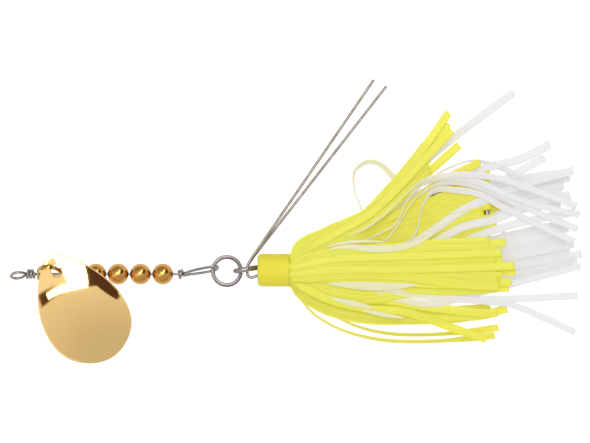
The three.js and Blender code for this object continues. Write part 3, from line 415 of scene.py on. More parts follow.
# Strips that fill the skirt between these: colour, level, how many, the shortest share of the full length
# or a share for each, width, and the first and last route. A single one only peeks out between the others
FILLS = {
    "upper": ("yellow", [(0, 5.2), (0.4, 3.6), (1, 3.4)], 7, 0.9, 2.0,
              [(0, 42), (21, 83), (52, 104), (100, 124), (151, 148), (227, 174), (257, 196), (323, 265),
               (381, 330), (436, 398), (484, 460)],
              [(0, 21), (48, 49), (117, 80), (185, 110), (261, 158), (323, 203), (381, 251), (429, 295),
               (484, 337), (520, 360)]),
    "back": ("yellow", -1.5, 11, 0.88, 2.0,
             [(0, 28), (65, 56), (134, 83), (203, 110), (288, 151), (374, 199), (460, 247), (545, 289),
              (614, 313), (662, 323)],
             [(0, 8), (100, 28), (203, 49), (305, 69), (408, 93), (511, 131), (614, 172), (717, 203)]),
    "shoulder": ("yellow", [(0, 5.0), (0.28, 4.2), (0.46, 1.0), (0.55, 0.7), (1, 0.7)], 12,
                 [1, 0.97, 1, 0.96, 0.99, 0.985, 0.945, 0.945, 0.995, 0.98, 1, 0.96], 2.0,
                 [(0, 36), (48, 62), (117, 92), (185, 122), (261, 152), (350, 185), (440, 220), (520, 252),
                  (600, 282), (680, 305)],
                 [(0, 20), (65, 40), (151, 55), (271, 75), (374, 85), (480, 100), (560, 112), (640, 125),
                  (710, 135)]),
    "middle": ("yellow", [(0, 5.75), (1, 5.4)], 10, 0.95, 2.0,
               [(0, 32), (65, 45), (151, 62), (271, 74), (374, 80), (511, 92), (614, 97), (706, 100)],
               [(0, -30), (65, -27), (151, -16), (271, -16), (374, -20), (477, -34), (614, -49),
                (734, -54)]),
    "under": ("yellow", [(0, 4.2), (1, 3.6)], 4, 0.96, 2.0,
              [(0, -13), (65, -34), (151, -58), (271, -61), (374, -51), (477, -47), (614, -54), (717, -58)],
              [(0, -37), (65, -60), (151, -88), (271, -100), (374, -82), (477, -71), (614, -66),
               (700, -61)]),
    "patch": ("white", 5.35, 1, 1, 1.75,
              [(125, -44), (200, -49.7), (267, -53), (335, -54.2), (430, -48)], None),
    "seam": ("white", [(0, 6.2), (0.8, 6.15), (1, 3.5)], 1, 1, 1.5,
             [(130, 72), (160, 79), (200, 81), (254, 75.7), (315, 73.7), (369, 79), (423, 92.7), (464, 113),
              (500, 135)], None),
    "thread": ("white", [(0, 5.4), (0.6, 5.4), (1, 4.2)], 1, 0.65, 0.65,
               [(120, 80), (170, 92), (240, 100), (300, 98.5), (370, 94)], None),
    "slip": ("white", 5.15, 1, 1, 1.2,
             [(133, -91), (186, -107), (234, -117), (286, -129)], None),
    "sliver": ("white", 4.6, 1, 0.9, 0.9,
               [(240, -135), (315, -151), (390, -162)], None),
    "lower": ("yellow", [(0, 3.0), (0.3, 2.2), (1, 1.6)], 9, 0.92, 2.0,
              [(0, -37), (48, -64), (117, -92), (203, -112), (305, -123), (408, -133), (511, -140),
               (614, -133), (713, -126)],
              [(0, -51), (28, -75), (72, -112), (134, -142), (203, -160), (288, -171), (374, -171),
               (460, -169), (545, -166), (614, -157), (682, -140)]),
    "far_tail": ("white", -2.5, 6, 0.95, 2.0,
                 [(374, 151), (477, 217), (580, 265), (682, 295), (785, 313), (943, 333)],
                 [(374, 104), (494, 138), (614, 172), (751, 203), (854, 220), (957, 227)]),
    "near_tail": ("white", -3.5, 9, 0.95, 2.0,
                  [(374, 52), (511, 62), (648, 90), (751, 117), (854, 141), (963, 165)],
                  [(374, 1), (511, -13), (648, -23), (758, -23), (871, 1), (977, 25)]),
}

# Places worked out from the sizes
SHAFT_HEIGHT = BEAD_DIAMETER / 2
BORE_RADIUS = SHAFT_WIRE / 2 + RUNNING_GAP
LINE_WRAP_END = LINE_EYE_LENGTH + LINE_WRAP_TURNS * WRAP_PITCH
CLEVIS_FRONT = LINE_WRAP_END + CLEVIS_PLAY + CLEVIS_STRAP / 2
CLEVIS_MIDDLE = CLEVIS_FRONT + CLEVIS_SPAN / 2
FIRST_BEAD = CLEVIS_FRONT + CLEVIS_SPAN + CLEVIS_STRAP / 2 + BEAD_GAP + BEAD_DIAMETER / 2
BEAD_PITCH = BEAD_DIAMETER + BEAD_GAP
RING_WRAP_START = FIRST_BEAD + (BEAD_COUNT - 1) * BEAD_PITCH + BEAD_DIAMETER / 2 + BEAD_CHAIN_PLAY
RING_EYE_NECK = RING_WRAP_START + RING_WRAP_TURNS * WRAP_PITCH
X_AXIS = np.array([1.0, 0.0, 0.0])
Z_AXIS = np.array([0.0, 0.0, 1.0])


def in_plan(angle):
    """A unit direction in plan, turned from +X."""
    return np.array([math.cos(angle), math.sin(angle), 0.0])


RING_EYE_REACH = in_plan(RING_EYE_SWING) * (RING_EYE_LENGTH - SHAFT_WIRE / 2)
RING_EYE_TIP = np.array([RING_EYE_NECK, 0, SPLIT_RING_HEIGHT]) + RING_EYE_REACH
SPLIT_RING_INNER = SPLIT_RING_DIAMETER / 2 - SPLIT_RING_BAND
SPLIT_RING_CENTRE = RING_EYE_TIP + in_plan(SPLIT_RING_LEAD) * (SPLIT_RING_INNER - LINK_GAP - SHAFT_WIRE / 2)
HOOK_LINK = SPLIT_RING_INNER - LINK_GAP + HOOK_EYE / 2 - HOOK_WIRE
HOOK_EYE_CENTRE = SPLIT_RING_CENTRE + in_plan(HOOK_LEAD) * HOOK_LINK
HOOK_EYE_CENTRE[2] = HOOK_HEIGHT
HOOK_EYE_RADIUS = (HOOK_EYE - HOOK_WIRE) / 2
HOOK_AXIS = in_plan(HOOK_TILT)
HOOK_SIDE = in_plan(HOOK_TILT + math.pi / 2)
COLLAR_FRONT = HOOK_EYE_CENTRE[0] + HOOK_EYE / 2 + SEAT_GAP
COLLAR_SIDE = HOOK_EYE_CENTRE[1] - COLLAR_DROP
SKIRT_ROOT = np.array([COLLAR_FRONT + COLLAR_LENGTH + SEAT_GAP, COLLAR_SIDE, 0.0])

# The bait's own frame, placed by the first bead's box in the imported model
BEAD_BOX = np.array([tuple(corner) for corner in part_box("bead_1")]) * 1000
PLACE = BEAD_BOX.mean(axis=0) - np.array([FIRST_BEAD, 0, SHAFT_HEIGHT])


def unit(vectors):
    """Vectors divided by their lengths."""
    return vectors / np.maximum(np.linalg.norm(vectors, axis=-1, keepdims=True), 1e-12)


def tangents(path):
    """Unit directions along a path, by central differences."""
    return unit(np.gradient(path, axis=0))


def lengths_along(path):
    """The length run from the first point to each point."""
    return np.concatenate([[0], np.cumsum(np.linalg.norm(np.diff(path, axis=0), axis=1))])


def evenly(path, count):
    """The same polyline with count points at equal steps of its length."""
    run = lengths_along(path)
    at = np.linspace(0, run[-1], count)
    return np.stack([np.interp(at, run, column) for column in path.T], axis=1)


def smooth_path(points, count):
    """Points evenly spaced along a centripetal Catmull-Rom curve: cubic spans through every listed point,
    whose knots are spaced by the square root of each chord. A span mixes its four points pair by pair."""
    points = np.asarray(points, float)
    guides = np.vstack([2 * points[0] - points[1], points, 2 * points[-1] - points[-2]])
    chords = np.linalg.norm(np.diff(guides, axis=0), axis=1)
    knots = np.concatenate([[0], np.cumsum(np.maximum(chords, 1e-6) ** 0.5)])
    at = np.linspace(knots[1], knots[-2], PATH_STEPS_PER_POINT * len(points))
    span = np.clip(np.searchsorted(knots, at, side="right") - 1, 1, len(guides) - 3)
    at = at[:, None]
    knot = [knots[span + step][:, None] for step in (-1, 0, 1, 2)]
    near = [guides[span + step] for step in (-1, 0, 1, 2)]

    def mix(first, last, start, end):
        """A point between two, as far as the place is between their knots."""
        gap = knot[last] - knot[first]
        return (knot[last] - at) / gap * start + (at - knot[first]) / gap * end

    lines = [mix(step, step + 1, near[step], near[step + 1]) for step in range(3)]
    bends = [mix(step, step + 2, lines[step], lines[step + 1]) for step in range(2)]
    return evenly(mix(1, 2, *bends), count)


def raised(plan, height):
    """Points in plan, each at its height."""
    return np.concatenate([plan, np.broadcast_to(height, plan.shape[:-1])[..., None]], axis=-1)


def in_metres(points):
    """Points of the bait's own frame in the scene's frame."""
    return (points + PLACE) / 1000


def about_z(angle):
    """Rows that turn points about the Z axis, from X towards Y."""
    return np.array([in_plan(angle), in_plan(angle + math.pi / 2), Z_AXIS])


def about_x(angle):
    """Rows that turn points about the X axis, from Y towards Z: those about Z, moved on by one axis."""
    return np.roll(about_z(angle), 1, axis=(0, 1))


def waves(place, table):
    """The sum of sines of a place, each with its size, its rate and its phase."""
    return sum(size * np.sin(place * rate + phase) for size, rate, phase in table)


def add_object(name, data):
    """A new object in the scene."""
    made = bpy.data.objects.new(name, data)
    bpy.context.collection.objects.link(made)
    return made


def choose(*pieces):
    """Selects these pieces alone, the first one active."""
    bpy.ops.object.select_all(action="DESELECT")
    for piece in pieces:
        piece.select_set(True)
    bpy.context.view_layer.objects.active = pieces[0]


def outward(piece):
    """Turns a closed mesh's faces outwards."""
    choose(piece)
    bpy.ops.object.mode_set(mode="EDIT")
    bpy.ops.mesh.select_all(action="SELECT")
    bpy.ops.mesh.normals_make_consistent(inside=False)
    bpy.ops.object.mode_set(mode="OBJECT")


def joined(name, pieces):
    """Several meshes as one piece."""
    choose(*pieces)
    bpy.ops.object.join()
    pieces[0].name = name
    pieces[0].data.name = name
    return pieces[0]


def grid_piece(name, grid, capped=True):
    """A mesh from a grid of points, rows along the piece and columns around it. Neighbouring rows and
    columns are joined by quads, the last column meets the first, and flat caps close the two ends. The UV
    map holds the distance around and the distance along, in millimetres."""
    rows, columns = grid.shape[:2]
    row = np.arange(rows - 1)[:, None] * columns
    column = np.arange(columns)[None]
    a = row + column
    b = row + (column + 1) % columns
    faces = np.stack([a, b, b + columns, a + columns], axis=-1).reshape(-1, 4).tolist()
    if capped:
        faces.append(list(range(columns))[::-1])
        faces.append(list(range((rows - 1) * columns, rows * columns)))
    mesh = bpy.data.meshes.new(name)
    mesh.from_pydata(in_metres(grid.reshape(-1, 3)).tolist(), [], faces)
    index = np.zeros(len(mesh.loops), np.int32)
    mesh.loops.foreach_get("vertex_index", index)
    around = lengths_along(grid[rows // 2])[index % columns]
    down = lengths_along(grid[:, 0])[index // columns]
    layer = mesh.uv_layers.new(name="UVMap")
    layer.data.foreach_set("uv", np.stack([around, down], axis=1).astype(np.float32).ravel())
    mesh.polygons.foreach_set("use_smooth", np.ones(len(mesh.polygons), bool))
    mesh.update()
    return add_object(name, mesh)


def ring_piece(name, grid):
    """A closed ring: rows go round the axis and meet again, and each row's columns go round the section."""
    piece = grid_piece(name, np.concatenate([grid, grid[:1]]), capped=False)
    piece.modifiers.new("seam", "WELD").merge_threshold = 1e-6
    choose(piece)
    bpy.ops.object.modifier_apply(modifier="seam")
    outward(piece)
    return piece


def finished(piece, material, body, slot, *nodes):
    """Gives a piece its material and its body, and hides the CAD nodes that it stands for. The slot is not
    used.
    """
    piece.data.materials.clear()
    piece.data.materials.append(material)
    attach(piece, body)
    if nodes:
        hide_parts(*nodes)


def tube_grid(path, radius, sides, domed=True):
    """A round wire: circles about each point of the path, across its direction, with the side carried along
    the path without twist. The ends of a domed wire shrink as half circles."""
    radius = np.broadcast_to(np.asarray(radius, float), (len(path),))
    if domed:
        turn = np.radians([8, 35, 60, 80])
        sink = radius[0] * (np.cos(turn)[:, None] - 1)
        along = tangents(path)
        far = np.minimum(np.linalg.norm(path - path[0], axis=1), np.linalg.norm(path - path[-1], axis=1))
        keep = far > radius
        path = np.vstack([path[0] - along[0] * sink, path[keep], path[-1] + along[-1] * sink[::-1]])
        radius = np.concatenate([radius[0] * np.sin(turn), radius[keep], radius[-1] * np.sin(turn[::-1])])
    along = tangents(path)
    side = unit(np.cross(Z_AXIS if abs(along[0][2]) < 0.9 else X_AXIS, along[0]))
    carried = [side]
    for direction in along[1:]:
        side = unit(side - direction * np.dot(side, direction))
        carried.append(side)
    side = np.array(carried)[:, None]
    normal = np.cross(along[:, None], side)
    angle = np.linspace(0, 2 * math.pi, sides, endpoint=False)[:, None]
    return path[:, None] + radius[:, None, None] * (side * np.cos(angle) + normal * np.sin(angle))


def rounded_bar(thick, wide, corner):
    """The outline of a bar's section, each corner a quarter circle, anticlockwise."""
    points = []
    for quarter, (x, y) in enumerate([(1, 1), (-1, 1), (-1, -1), (1, -1)]):
        turn = np.radians([0, 30, 60, 90]) + quarter * math.pi / 2
        points.append(np.stack([x * (thick / 2 - corner) + np.cos(turn) * corner,
                                y * (wide / 2 - corner) + np.sin(turn) * corner], axis=1))
    return np.vstack(points)


def lathed(profile, sides):
    """A profile of places along the X axis and radii, turned round that axis."""
    turn = np.linspace(0, 2 * math.pi, sides, endpoint=False)[:, None]
    along, radius = np.array(profile).T
    return np.stack([along + turn * 0, radius * np.cos(turn), radius * np.sin(turn)], axis=-1)


def hex_colour(text):
    """An sRGB colour in hex as linear light."""
    value = np.array([int(text[i:i + 2], 16) / 255 for i in (1, 3, 5)])
    linear = np.where(value <= 0.04045, value / 12.92, ((value + 0.055) / 1.055) ** 2.4)
    return (*linear.tolist(), 1.0)


class Nodes:
    """A node tree whose nodes are added in order."""

    def __init__(self, tree):
        self.tree = tree

    def put(self, socket, value):
        """Links an output to a socket, or sets the socket's own value."""
        if isinstance(value, bpy.types.NodeSocket):
            self.tree.links.new(value, socket)
        else:
            socket.default_value = value

    def add(self, kind, inputs=(), **settings):
        """A new node, with its settings and its inputs by name or by number."""
        node = self.tree.nodes.new(kind)
        for key, value in settings.items():
            setattr(node, key, value)
        for key, value in dict(inputs).items():
            self.put(node.inputs[key], value)
        return node

    def ramp(self, value, start, end, low=0.0, high=1.0, kind="LINEAR"):
        """A value's span from start to end, spread between low and high."""
        return self.add("ShaderNodeMapRange", {
            "Value": value, "From Min": start, "From Max": end, "To Min": low, "To Max": high},
            interpolation_type=kind).outputs["Result"]

    def figure(self, operation, *values):
        """Values added, multiplied or compared."""
        return self.add("ShaderNodeMath", enumerate(values), operation=operation).outputs[0]

    def blend(self, share, first, second, kind="RGBA"):
        """The first colour or number where the share is nothing, and the second where it is one."""
        node = self.add("ShaderNodeMix", data_type=kind)
        for name, value in (("Factor", share), ("A", first), ("B", second)):
            self.put(next(socket for socket in node.inputs if socket.name == name and socket.enabled), value)
        return next(socket for socket in node.outputs if socket.enabled)


class Shader(Nodes):
    """A material's node tree, with its Principled shader ready."""

    def __init__(self, name, **sockets):
        self.material = bpy.data.materials.new(name)
        self.material.use_nodes = True
        super().__init__(self.material.node_tree)
        for socket, value in sockets.items():
            self.give(socket.replace("_", " "), value)

    def give(self, socket, value):
        """Links or sets one of the Principled shader's sockets."""
        self.put(self.tree.nodes["Principled BSDF"].inputs[socket], value)

    def place(self, scale=(1, 1, 1), source="Object"):
        """Object coordinates, or the piece's own UV map, stretched by three factors."""
        coordinates = self.add("ShaderNodeTexCoord").outputs[source]
        return self.add("ShaderNodeMapping", {"Vector": coordinates, "Scale": scale}).outputs["Vector"]

    def noise(self, place, scale, detail=3.0):
        """Cloudy noise from 0 to 1."""
        clouds = self.add("ShaderNodeTexNoise", {"Vector": place, "Scale": scale, "Detail": detail})
        return clouds.outputs["Fac"]

    def spread(self, value, low, high):
        """A value from 0 to 1 spread between two others."""
        return self.ramp(value, 0.0, 1.0, low, high)

    def bump(self, height, strength, distance):
        """A fine relief, in metres."""
        bump = self.add("ShaderNodeBump", {"Height": height, "Strength": strength, "Distance": distance})
        self.give("Normal", bump.outputs["Normal"])


def drawn_wire(name, colour, dark, roughness):
    """Drawn wire: fine lines along the wire, darker drawing marks and a little uneven gloss."""
    shader = Shader(name, Metallic=1.0)
    lines = shader.noise(shader.place((3.0, 0.015, 1.0), "UV"), 6.0)
    marks = shader.noise(shader.place(), 420.0)
    shade = shader.spread(marks, -0.5, 1.5)
    shader.give("Base Color", shader.blend(shade, hex_colour(dark), hex_colour(colour)))
    shader.give("Roughness", shader.spread(lines, roughness * 0.7, roughness * 1.4))
    shader.bump(lines, 0.08, 0.00001)
    return shader.material


def plated(name, colour, deep, roughness, ripple):
    """Polished plate: a slow change of tint and hair-fine buffing marks in its gloss and its surface."""
    shader = Shader(name, Metallic=1.0)
    place = shader.place()
    slow = shader.noise(place, 60.0, 2.0)
    fine = shader.noise(place, 2600.0, 4.0)
    shader.give("Base Color", shader.blend(slow, hex_colour(deep), hex_colour(colour)))
    shader.give("Roughness", shader.spread(fine, roughness * 0.6, roughness * 1.5))
    shader.bump(fine, ripple, 0.00001)
    return shader.material


def vinyl(name, colour, shade, scatter, glow, stain_and_shade, axis, fade):
    """Cut vinyl sheet: lengthwise drawing streaks, cloudy tint, satin gloss, light that passes into it, an
    even glow that is painted light lifting its shaded parts, and a tint that fades out along an axis: the
    white vinyl stained yellow towards the collar, painted darker shade on the yellow strips that lie low."""
    # The emission is painted light: an even glow that lifts the shade between and under the strips
    shader = Shader(name, Subsurface_Weight=0.4, Subsurface_Scale=0.0009, Subsurface_Radius=scatter,
                    Specular_IOR_Level=0.35, Emission_Color=glow, Emission_Strength=1.0)
    streaks = shader.noise(shader.place((1.6, 0.06, 1.0), "UV"), 3.0)
    clouds = shader.noise(shader.place(), 150.0)
    streaked = shader.blend(shader.spread(streaks, -0.35, 1.1), hex_colour(shade), hex_colour(colour))
    cloudy = shader.blend(shader.spread(clouds, 0.0, 0.35), streaked, hex_colour(shade))
    # On the yellow vinyl this tint is painted shade, darker and more golden where its strips lie low; the
    # white vinyl is stained yellow towards the collar
    place = shader.add("ShaderNodeSeparateXYZ", {"Vector": shader.place()}).outputs[axis]
    untinted = shader.ramp(place, *fade)
    shader.give("Base Color", shader.blend(untinted, hex_colour(stain_and_shade), cloudy))
    shader.give("Roughness", shader.spread(streaks, 0.36, 0.58))
    shader.bump(streaks, 0.25, 0.00006)
    return shader.material


def moulded_rubber(name, colour, shade):
    """Moulded rubber: fine grain, faint lengthwise flow marks and a satin surface."""
    shader = Shader(name, Subsurface_Weight=0.15, Subsurface_Scale=0.0008, Subsurface_Radius=YELLOW_SCATTER,
                    Specular_IOR_Level=0.3)
    grain = shader.noise(shader.place(), 5200.0)
    flow = shader.noise(shader.place((0.25, 1, 1)), 700.0)
    tint = shader.spread(flow, -0.3, 1.2)
    shader.give("Base Color", shader.blend(tint, hex_colour(shade), hex_colour(colour)))
    shader.give("Roughness", shader.spread(grain, 0.45, 0.65))
    shader.bump(grain, 0.18, 0.00004)
    return shader.material


STEEL = drawn_wire("stainless wire", "#aba6a3", "#7a7471", 0.3)
SPRING = drawn_wire("guard spring wire", "#aca59c", "#8a8278", 0.42)
RING_STEEL = drawn_wire("split ring steel", "#77716f", "#524d4c", 0.26)
NICKEL = drawn_wire("nickel plate", "#a49d9a", "#7e7875", 0.25)
GOLD = plated("gold plate", "#f4d08e", "#ebc480", 0.06, 0.03)
CLEVIS_GOLD = plated("clevis gold plate", "#c79f4c", "#a57f38", 0.16, 0.04)
BEAD_GOLD = plated("bead metal", "#c99a51", "#b98743", 0.17, 0.03)
RUBBER = moulded_rubber("collar rubber", "#d7cf3a", "#cdc332")
SLEEVE = moulded_rubber("sleeve plastic", "#dcdcd4", "#c8c8c0")
# Both vinyls glow a little: painted light that lifts their shaded parts
VINYLS = {
    # For the yellow vinyl, #b9af35 is painted shade on the strips that lie low
    "yellow": vinyl("yellow vinyl", "#bdbf50", "#b8b93f", YELLOW_SCATTER, YELLOW_PAINTED_LIGHT, "#b9af35", "Z",
                    DEEP_LAYER_SHADE),
    "white": vinyl("white vinyl", "#a3a1a3", "#9b9a9c", WHITE_SCATTER, WHITE_PAINTED_LIGHT, "#a19d60", "X", STAIN_END),
}


def wire_wrap(start, end, start_angle, turns):
    """A helix about the shaft between two places along it. Its radius is one wire and the wrap's gap."""
    share = np.linspace(0, 1, round(turns * WRAP_STEPS_PER_TURN) + 1)
    angle = start_angle + share * turns * 2 * math.pi
    radius = SHAFT_WIRE + WRAP_GAP
    return np.stack([start + (end - start) * share, np.cos(angle) * radius,
                     SHAFT_HEIGHT + np.sin(angle) * radius], axis=1)


def wire_eye(neck, reach, width, tilt, shares):
    """An eye's points: shares of its reach from the neck, and of half its width, tilted about the shaft."""
    across = np.array([0, math.cos(tilt), math.sin(tilt)]) * (width - SHAFT_WIRE) / 2
    shares = np.array(shares)
    return neck + shares[:, :1] * reach + shares[:, 1:] * across


def make_wire_shaft():
    """One wire: a wrap, the line's eye, the straight shaft, the ring's eye and the other wrap."""
    line_neck = np.array([LINE_EYE_LENGTH, 0, SHAFT_HEIGHT])
    line_reach = in_plan(math.pi + LINE_EYE_DROOP) * (LINE_EYE_LENGTH - SHAFT_WIRE / 2)
    line_eye = wire_eye(line_neck, line_reach, LINE_EYE_WIDTH, LINE_EYE_TILT, LINE_EYE_SHARES)
    line_angle = LINE_EYE_TILT + math.pi - LINE_WRAP_TURNS * 2 * math.pi
    line_wrap = wire_wrap(LINE_WRAP_END, LINE_EYE_LENGTH, line_angle, LINE_WRAP_TURNS)
    ring_neck = np.array([RING_EYE_NECK, 0, SHAFT_HEIGHT])
    ring_eye = wire_eye(ring_neck, RING_EYE_TIP - ring_neck, RING_EYE_WIDTH, RING_EYE_TILT, RING_EYE_SHARES)
    ring_wrap = wire_wrap(RING_EYE_NECK, RING_WRAP_START, RING_EYE_TILT + math.pi, RING_WRAP_TURNS)
    front = smooth_path(np.vstack([line_wrap, line_eye, line_neck]), EYE_STEPS)
    back = smooth_path(np.vstack([ring_neck, ring_eye, ring_wrap]), EYE_STEPS)
    middle = line_neck + np.linspace(0, 1, SHAFT_STEPS)[1:-1, None] * (ring_neck - line_neck)
    wire = tube_grid(np.vstack([front, middle, back]), SHAFT_WIRE / 2, SHAFT_SIDES)
    finished(grid_piece("wire_shaft_drawn", wire), STEEL, "shaft", "stainless_wire", "wire_shaft")


def make_clevis():
    """The strap is a rounded bar swept up one arm, round half an ellipse and down the other, and narrows to
    its bow. Each ear is a lathed washer with softened edges."""
    half = CLEVIS_SPAN / 2
    rise = CLEVIS_HEIGHT - CLEVIS_SHOULDER
    turn = np.linspace(0, math.pi, CLEVIS_ARCH_STEPS)
    arch = np.stack([np.cos(turn) * half, CLEVIS_SHOULDER + np.sin(turn) * rise], axis=1)
    leg = np.linspace(0, CLEVIS_SHOULDER, CLEVIS_LEG_STEPS + 1)[:-1]
    leg = np.stack([np.full(CLEVIS_LEG_STEPS, half), leg], axis=1)
    plan = evenly(np.vstack([leg, arch, leg[::-1] * (-1, 1)]), CLEVIS_STEPS)
    away = tangents(plan)[:, None, ::-1] * (1, -1)
    thick, wide = rounded_bar(CLEVIS_STRAP, CLEVIS_WIDTH, STRAP_CORNER).T
    narrowing = np.interp(plan[:, 1], [CLEVIS_SHOULDER, CLEVIS_SHOULDER + rise / 2],
                          [1, CLEVIS_BOW_WIDTH / CLEVIS_WIDTH])
    flat = plan[:, None] + away * thick[:, None]
    place = np.array([CLEVIS_MIDDLE, 0, SHAFT_HEIGHT])
    strap = raised(flat, narrowing[:, None] * wide) @ about_x(math.pi / 2 - CLEVIS_LEAN) + place
    pieces = [grid_piece("clevis_strap", strap)]
    for side in (-half, half):
        profile = rounded_bar(CLEVIS_STRAP, CLEVIS_EAR / 2 - BORE_RADIUS, EAR_CORNER)
        ear = lathed(profile + (side, (CLEVIS_EAR / 2 + BORE_RADIUS) / 2), EAR_SIDES)
        pieces.append(ring_piece("clevis_ear", ear + place))
    finished(joined("clevis_folded", pieces), CLEVIS_GOLD, "clevis", "gold_plate", "clevis")


def blade_outline(count):
    """The teardrop's rim as a smooth closed curve through the outline's shares."""
    right = np.array(BLADE_OUTLINE_SHARES) * (BLADE_LENGTH, -BLADE_WIDTH / 2)
    loop = np.vstack([right, right[1:-1][::-1] * (1, -1)])
    path = smooth_path(np.vstack([loop[-3:], loop, loop[:4]]), RIM_STEPS)
    from_tip = np.linalg.norm(path - loop[0], axis=1)
    start = np.argmin(from_tip[:RIM_STEPS // 2])
    end = RIM_STEPS // 2 + np.argmin(from_tip[RIM_STEPS // 2:])
    return evenly(path[start:end + 1], count + 1)[:-1]


def dish_depth(plan):
    """Depth of the dish: a sine of the skewed share of the length, times one less the square of the share
    of the half width there, which is read from the smooth outline."""
    rim = blade_outline(DISH_SPOKES)
    right = rim[rim[:, 1] <= 1e-9]
    right = right[np.argsort(right[:, 0])]
    half = np.maximum(np.interp(plan[..., 0], right[:, 0], -right[:, 1]), BLADE_SHEET)
    along = np.clip(plan[..., 0] / BLADE_LENGTH, 0, 1)
    across = np.clip(1 - (plan[..., 1] / half) ** 2, 0, None)
    return BLADE_DISH * np.sin(math.pi * along ** DISH_SKEW) * across


def blade_grid():
    """Spokes from the hole's wall to the rim and back: the upper face, the round rim, the lower face and
    the hole's round wall. Both faces follow the dish."""
    rim = blade_outline(BLADE_SPOKES)
    hole = np.array([BLADE_HOLE_PLACE, 0.0])
    spoke = unit(rim - hole)
    inner = hole + spoke * BLADE_HOLE / 2
    edge = BLADE_SHEET / 2
    share = np.linspace(0, 1, BLADE_ROWS)[:, None, None] ** SPOKE_EASE
    face = inner + (rim - inner) * share
    depth = dish_depth(face)
    face[0] = inner + spoke * edge * HOLE_ROUND_SHARE
    face[-1] = rim - spoke * edge * RIM_ROUND_SHARE
    turn = np.radians([60, 30, 0, -30, -60])[:, None]
    inset = spoke * edge * (1 - np.cos(turn))[..., None]
    rise = np.sin(turn) * edge
    upper = raised(face, depth + BLADE_SHEET)
    outer = raised(rim - inset * RIM_ROUND_SHARE, edge + rise)
    wall = raised(inner + inset * HOLE_ROUND_SHARE, depth[0] + edge - rise)
    depth[-1] = 0
    lower = raised(face, depth)[::-1]
    return np.concatenate([upper, outer, lower, wall]) - np.array([BLADE_HOLE_PLACE, 0, 0])


def make_blade():
    """The blade hangs by its hole on the clevis's bow, tilted, with its rim just clear of the beads."""
    height = CLEVIS_HEIGHT * CLEVIS_THREAD_SHARE
    rise = (height - CLEVIS_SHOULDER) / (CLEVIS_HEIGHT - CLEVIS_SHOULDER)
    rod_x = CLEVIS_MIDDLE + CLEVIS_SPAN / 2 * math.sqrt(1 - rise ** 2)
    rod_y = height * math.sin(CLEVIS_LEAN)
    rim_height = (BEAD_DIAMETER / 2 + BLADE_BEAD_GAP - DISH_SETTLE) / math.cos(BLADE_TILT)
    place = np.array([rod_x, rod_y, SHAFT_HEIGHT + rim_height + rod_y * math.tan(BLADE_TILT)])
    blade = blade_grid() @ about_z(BLADE_SWING) @ about_x(BLADE_TILT) + place
    finished(ring_piece("blade_polished", blade), GOLD, "blade", "gold_plate", "blade")


def make_bead(index):
    """A bead: a circle's arc from one mouth of the bore to the other, its mouths softened, and the bore's
    wall."""
    radius = BEAD_DIAMETER / 2
    mouth = math.asin((BORE_RADIUS + BEAD_MOUTH) / radius)
    angle = np.linspace(mouth, math.pi - mouth, BEAD_STEPS)
    lip = math.cos(mouth) * radius - BEAD_LIP
    arc = np.stack([-np.cos(angle), np.sin(angle)], axis=1) * radius
    profile = np.vstack([[-lip, BORE_RADIUS], arc, [lip, BORE_RADIUS], [0, BORE_RADIUS]])
    place = np.array([FIRST_BEAD + index * BEAD_PITCH, 0, SHAFT_HEIGHT])
    name = f"bead_{index + 1}"
    piece = ring_piece(f"{name}_polished", lathed(profile, BEAD_SIDES) + place)
    finished(piece, BEAD_GOLD, name, "bead_metal", name)


def make_split_ring():
    """Flat wire with rounded corners wound into nearly two turns, one above the other."""
    sweep = SPLIT_RING_SWEEP * np.linspace(0, 1, SPLIT_RING_STEPS)[:, None]
    angle = SPLIT_RING_START + sweep
    across, up = rounded_bar(SPLIT_RING_BAND, SPLIT_RING_WIRE, SPLIT_RING_CORNER).T
    radius = (SPLIT_RING_DIAMETER - SPLIT_RING_BAND) / 2 + across
    height = SPLIT_RING_PITCH * (sweep - SPLIT_RING_SWEEP / 2) / (2 * math.pi) + up
    grid = np.stack([np.cos(angle) * radius, np.sin(angle) * radius, height], axis=-1)
    piece = grid_piece("split_ring_wound", grid + SPLIT_RING_CENTRE)
    outward(piece)
    finished(piece, RING_STEEL, "split_ring", "stainless_wire", "split_ring")


def hook_place(along, side=0.0, height=0.0):
    """Points from the hook's eye: along the shank, to its side and up."""
    along, side, height = (np.asarray(value)[..., None] for value in np.broadcast_arrays(along, side, height))
    return HOOK_EYE_CENTRE + along * HOOK_AXIS + side * HOOK_SIDE + height * Z_AXIS


